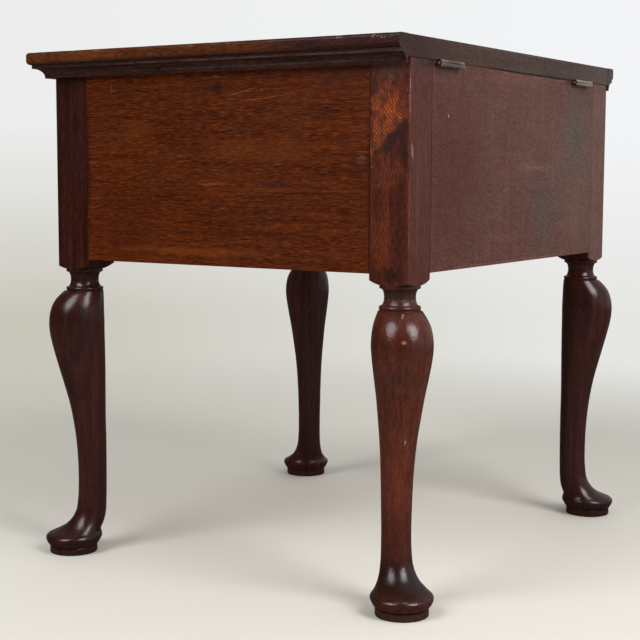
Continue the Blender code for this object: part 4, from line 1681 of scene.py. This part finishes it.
NEAR_POST_MARKS = (
    *marks_on(
        Face.END,
        ((150, 474), (205, 473), 28, "#4c322c", 0.85, SOFT),
        ((160, 461), (196, 462), 20, "#8c4a24", 0.45, SPECKS, (1.8, 1.8)),
        ((200, 430), (158, 391), 15, "#2a120e", 0.88, TORN, (8, 6)),
        ((194, 372), (193, 442), 12, "#2c120e", 0.80, TORN, (20, 5)),
        ((192, 296), (187, 372), 24, "#3c1a12", 0.60, TORN, (30, 7)),
        ((186, 452), (170, 392), 30, "#33110a", 0.60, SPECKS, (2.2, 2.2)),
        ((164.4, 453.2), (166.4, 452.2), 2.6, "#200d0a", 0.80, CRISP),
        ((161, 384), (163, 400), 6, "#8a5a38", 0.50, SPECKS, (1.6, 1.6)),
        ((160, 396), (160, 290), 3, "#2c110a", 0.50, SOFT),
        ((158, 298), (200, 297), 22, "#260d07", 0.85, SOFT),
    ),
    Mark((206.5, 198.5, 390), (50, 3, 260), "#4b241d", 0.85, CRISP, (6, 6, 60)),
    *marks_on(
        Face.BACK,
        ((164, 479), (240, 479), 30, "#33241f", 0.90, SOFT),
        ((211, 300), (211, 420), 6, "#5c3a33", 0.35, TORN, (60, 3)),
        # Two pale upright streaks at the dent: painted highlights.
        ((197.5, 388), (197.5, 416), 2.4, "#765249", 0.35, SOFT),
        ((222.6, 415), (219.6, 391), 4.6, "#8c756d", 0.65, SOFT),
    ),
    # A thin pale, then reddish, line down the post's outer arris: a painted highlight.
    Mark((225.9, 198.4, 446), (0.8, 0.8, 33), "#94695c", 0.55, TORN, (2, 2, 6)),
    Mark((225.9, 198.4, 350), (0.8, 0.8, 60), "#7c4434", 0.55, TORN, (2, 2, 9)),
    Mark((225.9, 198.4, 462), (1.5, 1.5, 18), "#94766b", 0.50, SPECKS, (1.6, 1.6, 3)),
)
NEAR_LEG_MARKS = (
    Mark((208.4, 180.9, 281), (70, 70, 16), "#2a1815", 0.85, SOFT, dulls=0.12),
    # Pale specks round the neck's lower cove: painted highlights.
    Mark((208.4, 180.9, 275.4), (60, 60, 1.8), "#a08a82", 0.45, SPECKS, (1.4, 1.4, 1.2)),
    Mark((226, 193, 266), (34, 34, 12), "#34191a", 0.55, SOFT),
    Mark((226.2, 193.6, 264.6), (1.7, 1.7, 3.6), "#b08c7e", 0.80, SOFT),
    Mark((228.2, 194.0, 261.4), (1.5, 1.5, 3.4), "#a88476", 0.70, SOFT),
    Mark((230, 196, 237), (50, 50, 24), "#34120a", 0.60, SOFT, (9, 9, 9)),
    Mark((228, 195, 208), (44, 44, 14), "#3c1f17", 0.50, SOFT, (9, 9, 9)),
    Mark((236.3, 200.4, 242.1), (3.4, 3.4, 2.6), "#a87868", 0.60, SOFT),
    Mark((216.5, 185.5, 114), (18, 18, 110), "#742e12", 0.30, SOFT, (6, 6, 40)),
    Mark((211, 184, 70), (44, 44, 36), "#34120a", 0.60, SOFT, (9, 9, 20)),
    Mark((219.5, 193.0, 152), (1.5, 3.0, 14), "#b09488", 0.85, SPECKS, (1.6, 1.6, 3)),
    Mark((218.5, 191.0, 26), (70, 70, 46), "#1d0d0a", 0.92, SOFT, dulls=0.05),
    Mark((216, 188, 30), (70, 70, 26), "#180b09", 0.60, SOFT),
    Mark((230.0, 200.0, 18.2), (16, 12, 0.8), "#9c7a6c", 0.60, TORN, (4, 4, 1)),
    Mark((218.5, 191.0, 1), (70, 70, 7), "#2e2318", 0.80, CRISP),
    Mark((218.4, 185.0, 48.0), (1.4, 1.4, 1.0), "#80645a", 0.5, SOFT),
)
FAR_POST_MARKS = (
    Mark((-206.5, 198.5, 385), (50, 3, 260), "#60423b", 0.92, CRISP, (6, 6, 60)),
    Mark((-194.2, 198.5, 385), (1.2, 3, 78), "#73554c", 0.50, TORN, (2, 2, 30)),
)
LEFT_LEG_MARKS = (
    # Pale specks round the neck's lower cove: painted highlights.
    Mark((208.4, -180.9, 275.4), (60, 60, 1.8), "#86706a", 0.55, SPECKS, (1.6, 1.6, 1.2)),
    Mark((208.4, -180.9, 281), (70, 70, 14), "#1a0f0e", 0.70, SOFT),
    Mark((218.5, -191.0, 12), (70, 70, 30), "#1a0f0d", 0.60, SOFT, dulls=0.10),
)
FAR_LEG_MARKS = (Mark((-218.5, 191.0, 12), (70, 70, 30), "#1a0f0d", 0.60, SOFT, dulls=0.10),)
LEG_LOOKS = {
    "back_right": LegLook(
        WORN_LEG_MAHOGANY, WORN_POST_MAHOGANY, NEAR_LEG_MARKS, NEAR_POST_MARKS, NEAR_POST_FIGURES, 1.1
    ),
    "back_left": LegLook(LEG_MAHOGANY, POST_MAHOGANY, FAR_LEG_MARKS, FAR_POST_MARKS),
    "front_left": LegLook(LEG_MAHOGANY, POST_MAHOGANY),
    "front_right": LegLook(LEG_MAHOGANY, POST_MAHOGANY, LEFT_LEG_MARKS),
}
MOULDING_MARKS = {
    "right": (
        Mark((246.5, -60, 494.5), (3, 330, 9), "#4c240c", 0.85, CRISP, (12, 30, 12)),
        Mark((246.5, -134, 495), (3, 50, 8), "#602f0e", 0.60, TORN, (12, 20, 6)),
        Mark((246.5, -215, 495), (3, 90, 8), "#5a2f12", 0.60, SOFT, (12, 20, 12)),
        Mark((246.5, 185, 494), (4, 140, 14), "#301412", 0.95, CRISP, (16, 30, 16)),
        *marks_on(
            Face.NOSE,
            ((-205, 489), (120, 489.5), 2.6, "#2e1209", 0.50, TORN, (18, 3)),
            # Pale specks along the nose's top towards the back: a painted highlight on its arris, broken into
            # specks.
            ((90, 498), (206, 498), 3.0, "#a8887e", 0.60, SPECKS, (3, 1.1)),
            ((160, 497), (206, 496), 6, "#a8887e", 0.50, SPECKS, (2.4, 1.2)),
            ((-205, 498), (80, 498), 1.6, "#8a5c40", 0.30, DUST, (10, 2)),
        ),
        # Pale bands along the fillet and the cove: painted highlights.
        Mark((240, 60, 485.4), (4, 260, 0.9), "#6a4a42", 0.55, TORN, (8, 22, 4)),
        Mark((236, 60, 479), (6, 260, 1.2), "#523832", 0.50, TORN, (8, 22, 4)),
    ),
    "left": (Mark((-246.5, 0, 494.5), (3, 900, 9), "#52260f", 0.90, CRISP, (12, 30, 12)),),
    "front": (Mark((0, -219, 494.5), (900, 3, 9), "#52260f", 0.90, CRISP, (30, 12, 12)),),
}
LID_MARKS = (
    Mark((218, 198.5, 489), (90, 9, 60), "#2e1512", 0.90, SOFT, (12, 9, 9)),
    Mark((-210, 198.5, 489), (110, 9, 40), "#473937", 0.75, SOFT, (20, 9, 9)),
    *marks_on(
        Face.BACK,
        # A greyish line along the board's top back edge: a painted reflection.
        ((246, 498.4), (-246, 498.4), 1.0, "#6c6052", 0.40, SOFT, (30, 4)),
        # A dark line along the board's lower back edge: a painted shadow in the gap under it.
        ((150, 481.0), (-240, 481.0), 3.0, "#120908", 0.92, TORN, (30, 2)),
        ((-120.5, 496.2), (-125.5, 495.2), 3.2, "#201412", 0.75, CRISP),
        ((77, 481.8), (73.4, 481.6), 2.8, "#201412", 0.75, CRISP),
    ),
)
HINGE_MARKS = (
    Mark((160, 205, 478.7), (27, 9, 7), "#6e615a", 0.70, CRISP),
    Mark((157, 205.2, 480.2), (20, 4, 1.4), "#4a3b34", 0.80, TORN, (5, 3, 2)),
    # A dark line along the middle of the barrel: a painted reflection of the dim room.
    Mark((0, 205.2, 479.3), (900, 3, 0.9), "#2e221e", 0.80, TORN, (9, 3, 2)),
    # A dark line under the barrel: a painted shadow.
    Mark((0, 205.2, 475.6), (900, 6, 0.8), "#241814", 0.90, SOFT),
)


# Studio


@dataclass(frozen=True)
class Lamp:
    """A soft lamp: its direction from the box in degrees, its oval face in metres, and how bright that is.

    The azimuth runs from +X towards +Y, and a radiance of 1 is white.
    """

    name: str
    azimuth: float
    elevation: float
    size: Pair
    radiance: float
    distance: float = 2.3


@dataclass(frozen=True)
class Studio:
    """A pale seamless floor and two tall soft lamps in front of the box, in a room dim behind the camera.

    Lengths are in metres and angles in degrees. The lens is in millimetres on a frame 36 mm wide.
    """

    # The backdrop's colours carry painted shade: darker towards the floor, and darkest and warmest low on the
    # left.
    top_left: str = "#ecedec"
    top_right: str = "#f3f4f6"
    low_left: str = "#c9c6ba"
    low_right: str = "#e6e6e3"
    floor_colour: str = "#dfdbd1"
    mirrored_floor: str = "#4c4842"
    floor_radius: float = 4.0
    fade_start: float = 0.6
    fade_end: float = 1.55
    bright_side: Triple = (-0.83, 0.52, 0.20)
    right_side: Triple = (-0.52, 0.855, 0.0)
    aim: Triple = (0.0, 0.0, 0.25)
    lamps: tuple[Lamp, ...] = (
        Lamp("left_window", -13.0, 38.0, (1.2, 1.7), 5.8),
        Lamp("right_window", 74.0, 36.0, (1.1, 1.6), 8.0),
    )
    camera_place: Triple = (1.25653, 0.75998, 0.38646)
    camera_heading: float = 212.238
    camera_dip: float = 6.146
    camera_roll: float = 0.195
    lens: float = 78.06

    def floor(self) -> None:
        """The floor. Seen directly it fades into the backdrop, and reflections in the polish show it dim."""
        shape = bmesh.new()
        bmesh.ops.create_circle(shape, cap_ends=True, radius=self.floor_radius, segments=96)
        floor = to_object(shape, "studio_floor")
        material, tree, place = new_material("painted_floor")
        add = partial(add_node, tree)
        distance = add("VectorMath", (place,), operation="LENGTH")["Value"]
        limits = (distance, self.fade_start, self.fade_end, 0.0, 1.0)
        fade = add("MapRange", limits, interpolation_type="SMOOTHSTEP")[0]
        path = add("LightPath")
        gone = add("Math", (fade, path["Is Camera Ray"]), operation="MULTIPLY")[0]
        colour = mixed(tree, path["Is Glossy Ray"], self.floor_colour, self.mirrored_floor)
        paint = add("BsdfPrincipled", {"Base Color": colour, "Roughness": 0.8})[0]
        faded = add("MixShader", (gone, paint, add("BsdfTransparent")[0]))[0]
        add("OutputMaterial", {"Surface": faded})
        floor.data.materials.append(material)

    def world(self) -> None:
        """The surroundings: a pale backdrop with painted shade, darker towards the floor, and a room lit from
        behind the box.
        """
        world = bpy.data.worlds.new("studio_surroundings")
        world.use_nodes = True
        tree = world.node_tree
        tree.nodes.clear()
        add = partial(add_node, tree)
        direction = add("TexCoord")["Generated"]
        facing, across = (
            add("VectorMath", (direction, Vector(way).normalized()), operation="DOT_PRODUCT")["Value"]
            for way in (self.bright_side, self.right_side)
        )
        right = add("MapRange", (across, -0.20, 0.16, 0.0, 1.0))[0]
        low = add("MapRange", (add("SeparateXYZ", (direction,))[2], 0.03, -0.10, 0.0, 1.0))[0]
        top = mixed(tree, right, self.top_left, self.top_right)
        backdrop = mixed(tree, low, top, mixed(tree, right, self.low_left, self.low_right))
        ambient, mirrored = (
            add("MapRange", (facing, -0.35, 0.75, dim, bright), interpolation_type="SMOOTHSTEP")[0]
            for dim, bright in ((0.22, 0.75), (0.04, 0.36))
        )
        white = linear("#ffffff")
        room, reflected, seen = (
            add("Background", {"Color": colour, "Strength": strength})[0]
            for colour, strength in ((white, ambient), (white, mirrored), (backdrop, 1.0))
        )
        path = add("LightPath")
        lit = add("MixShader", (path["Is Glossy Ray"], room, reflected))[0]
        full = add("MixShader", (path["Is Camera Ray"], lit, seen))[0]
        add("OutputWorld", {"Surface": full})
        bpy.context.scene.world = world

    def light(self, lamp: Lamp) -> None:
        """Aims a soft lamp at the box.

        Args:
            lamp: the lamp.
        """
        data = bpy.data.lights.new(lamp.name, "AREA")
        data.shape = "ELLIPSE"
        data.size, data.size_y = lamp.size
        data.energy = lamp.radiance * math.pi * (math.pi / 4) * lamp.size[0] * lamp.size[1]
        source = bpy.data.objects.new(lamp.name, data)
        bpy.context.scene.collection.objects.link(source)
        a, e = math.radians(lamp.azimuth), math.radians(lamp.elevation)
        away = Vector((math.cos(a) * math.cos(e), math.sin(a) * math.cos(e), math.sin(e)))
        source.location = Vector(self.aim) + away * lamp.distance
        source.rotation_euler = (-away).to_track_quat("-Z", "Y").to_euler()
        source.visible_camera = False

    def camera(self) -> None:
        """The camera at the photograph's viewpoint."""
        data = bpy.data.cameras.new("camera")
        camera = bpy.data.objects.new("camera", data)
        bpy.context.scene.collection.objects.link(camera)
        data.sensor_width = 36.0
        data.lens = self.lens
        turns = ((self.camera_heading - 90, "Z"), (90 - self.camera_dip, "X"), (self.camera_roll, "Z"))
        heading, dip, roll = (Matrix.Rotation(math.radians(angle), 4, axis) for angle, axis in turns)
        camera.matrix_world = Matrix.Translation(self.camera_place) @ heading @ dip @ roll
        bpy.context.scene.camera = camera

    def build(self) -> None:
        """Builds the studio."""
        bpy.context.scene.view_settings.view_transform = "Standard"
        self.floor()
        self.world()
        for lamp in self.lamps:
            self.light(lamp)
        self.camera()


def main() -> None:
    """Builds the box round its frame, then the studio."""
    logging.basicConfig(level=logging.INFO, format="%(name)s: %(message)s")
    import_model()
    plan = CarcassPlan.from_frame()
    screws = Screws(SCREW_METAL.material())
    CabrioleLegs(plan).build()
    panels = Panels(screws)
    built = panels.build()
    BottomBoards(plan).build()
    lid = MouldedLid()
    board = lid.build()
    metal, joint_metal = HINGE_METAL.material(HINGE_MARKS), JOINT_METAL.material()
    for side in ("left", "right"):
        ButtHinge(side, metal, joint_metal, screws).build(built[Side.BACK], board)
    panels.dress(built)
    lid.dress(board)
    Studio().build()


if __name__ == "__main__":
    main()
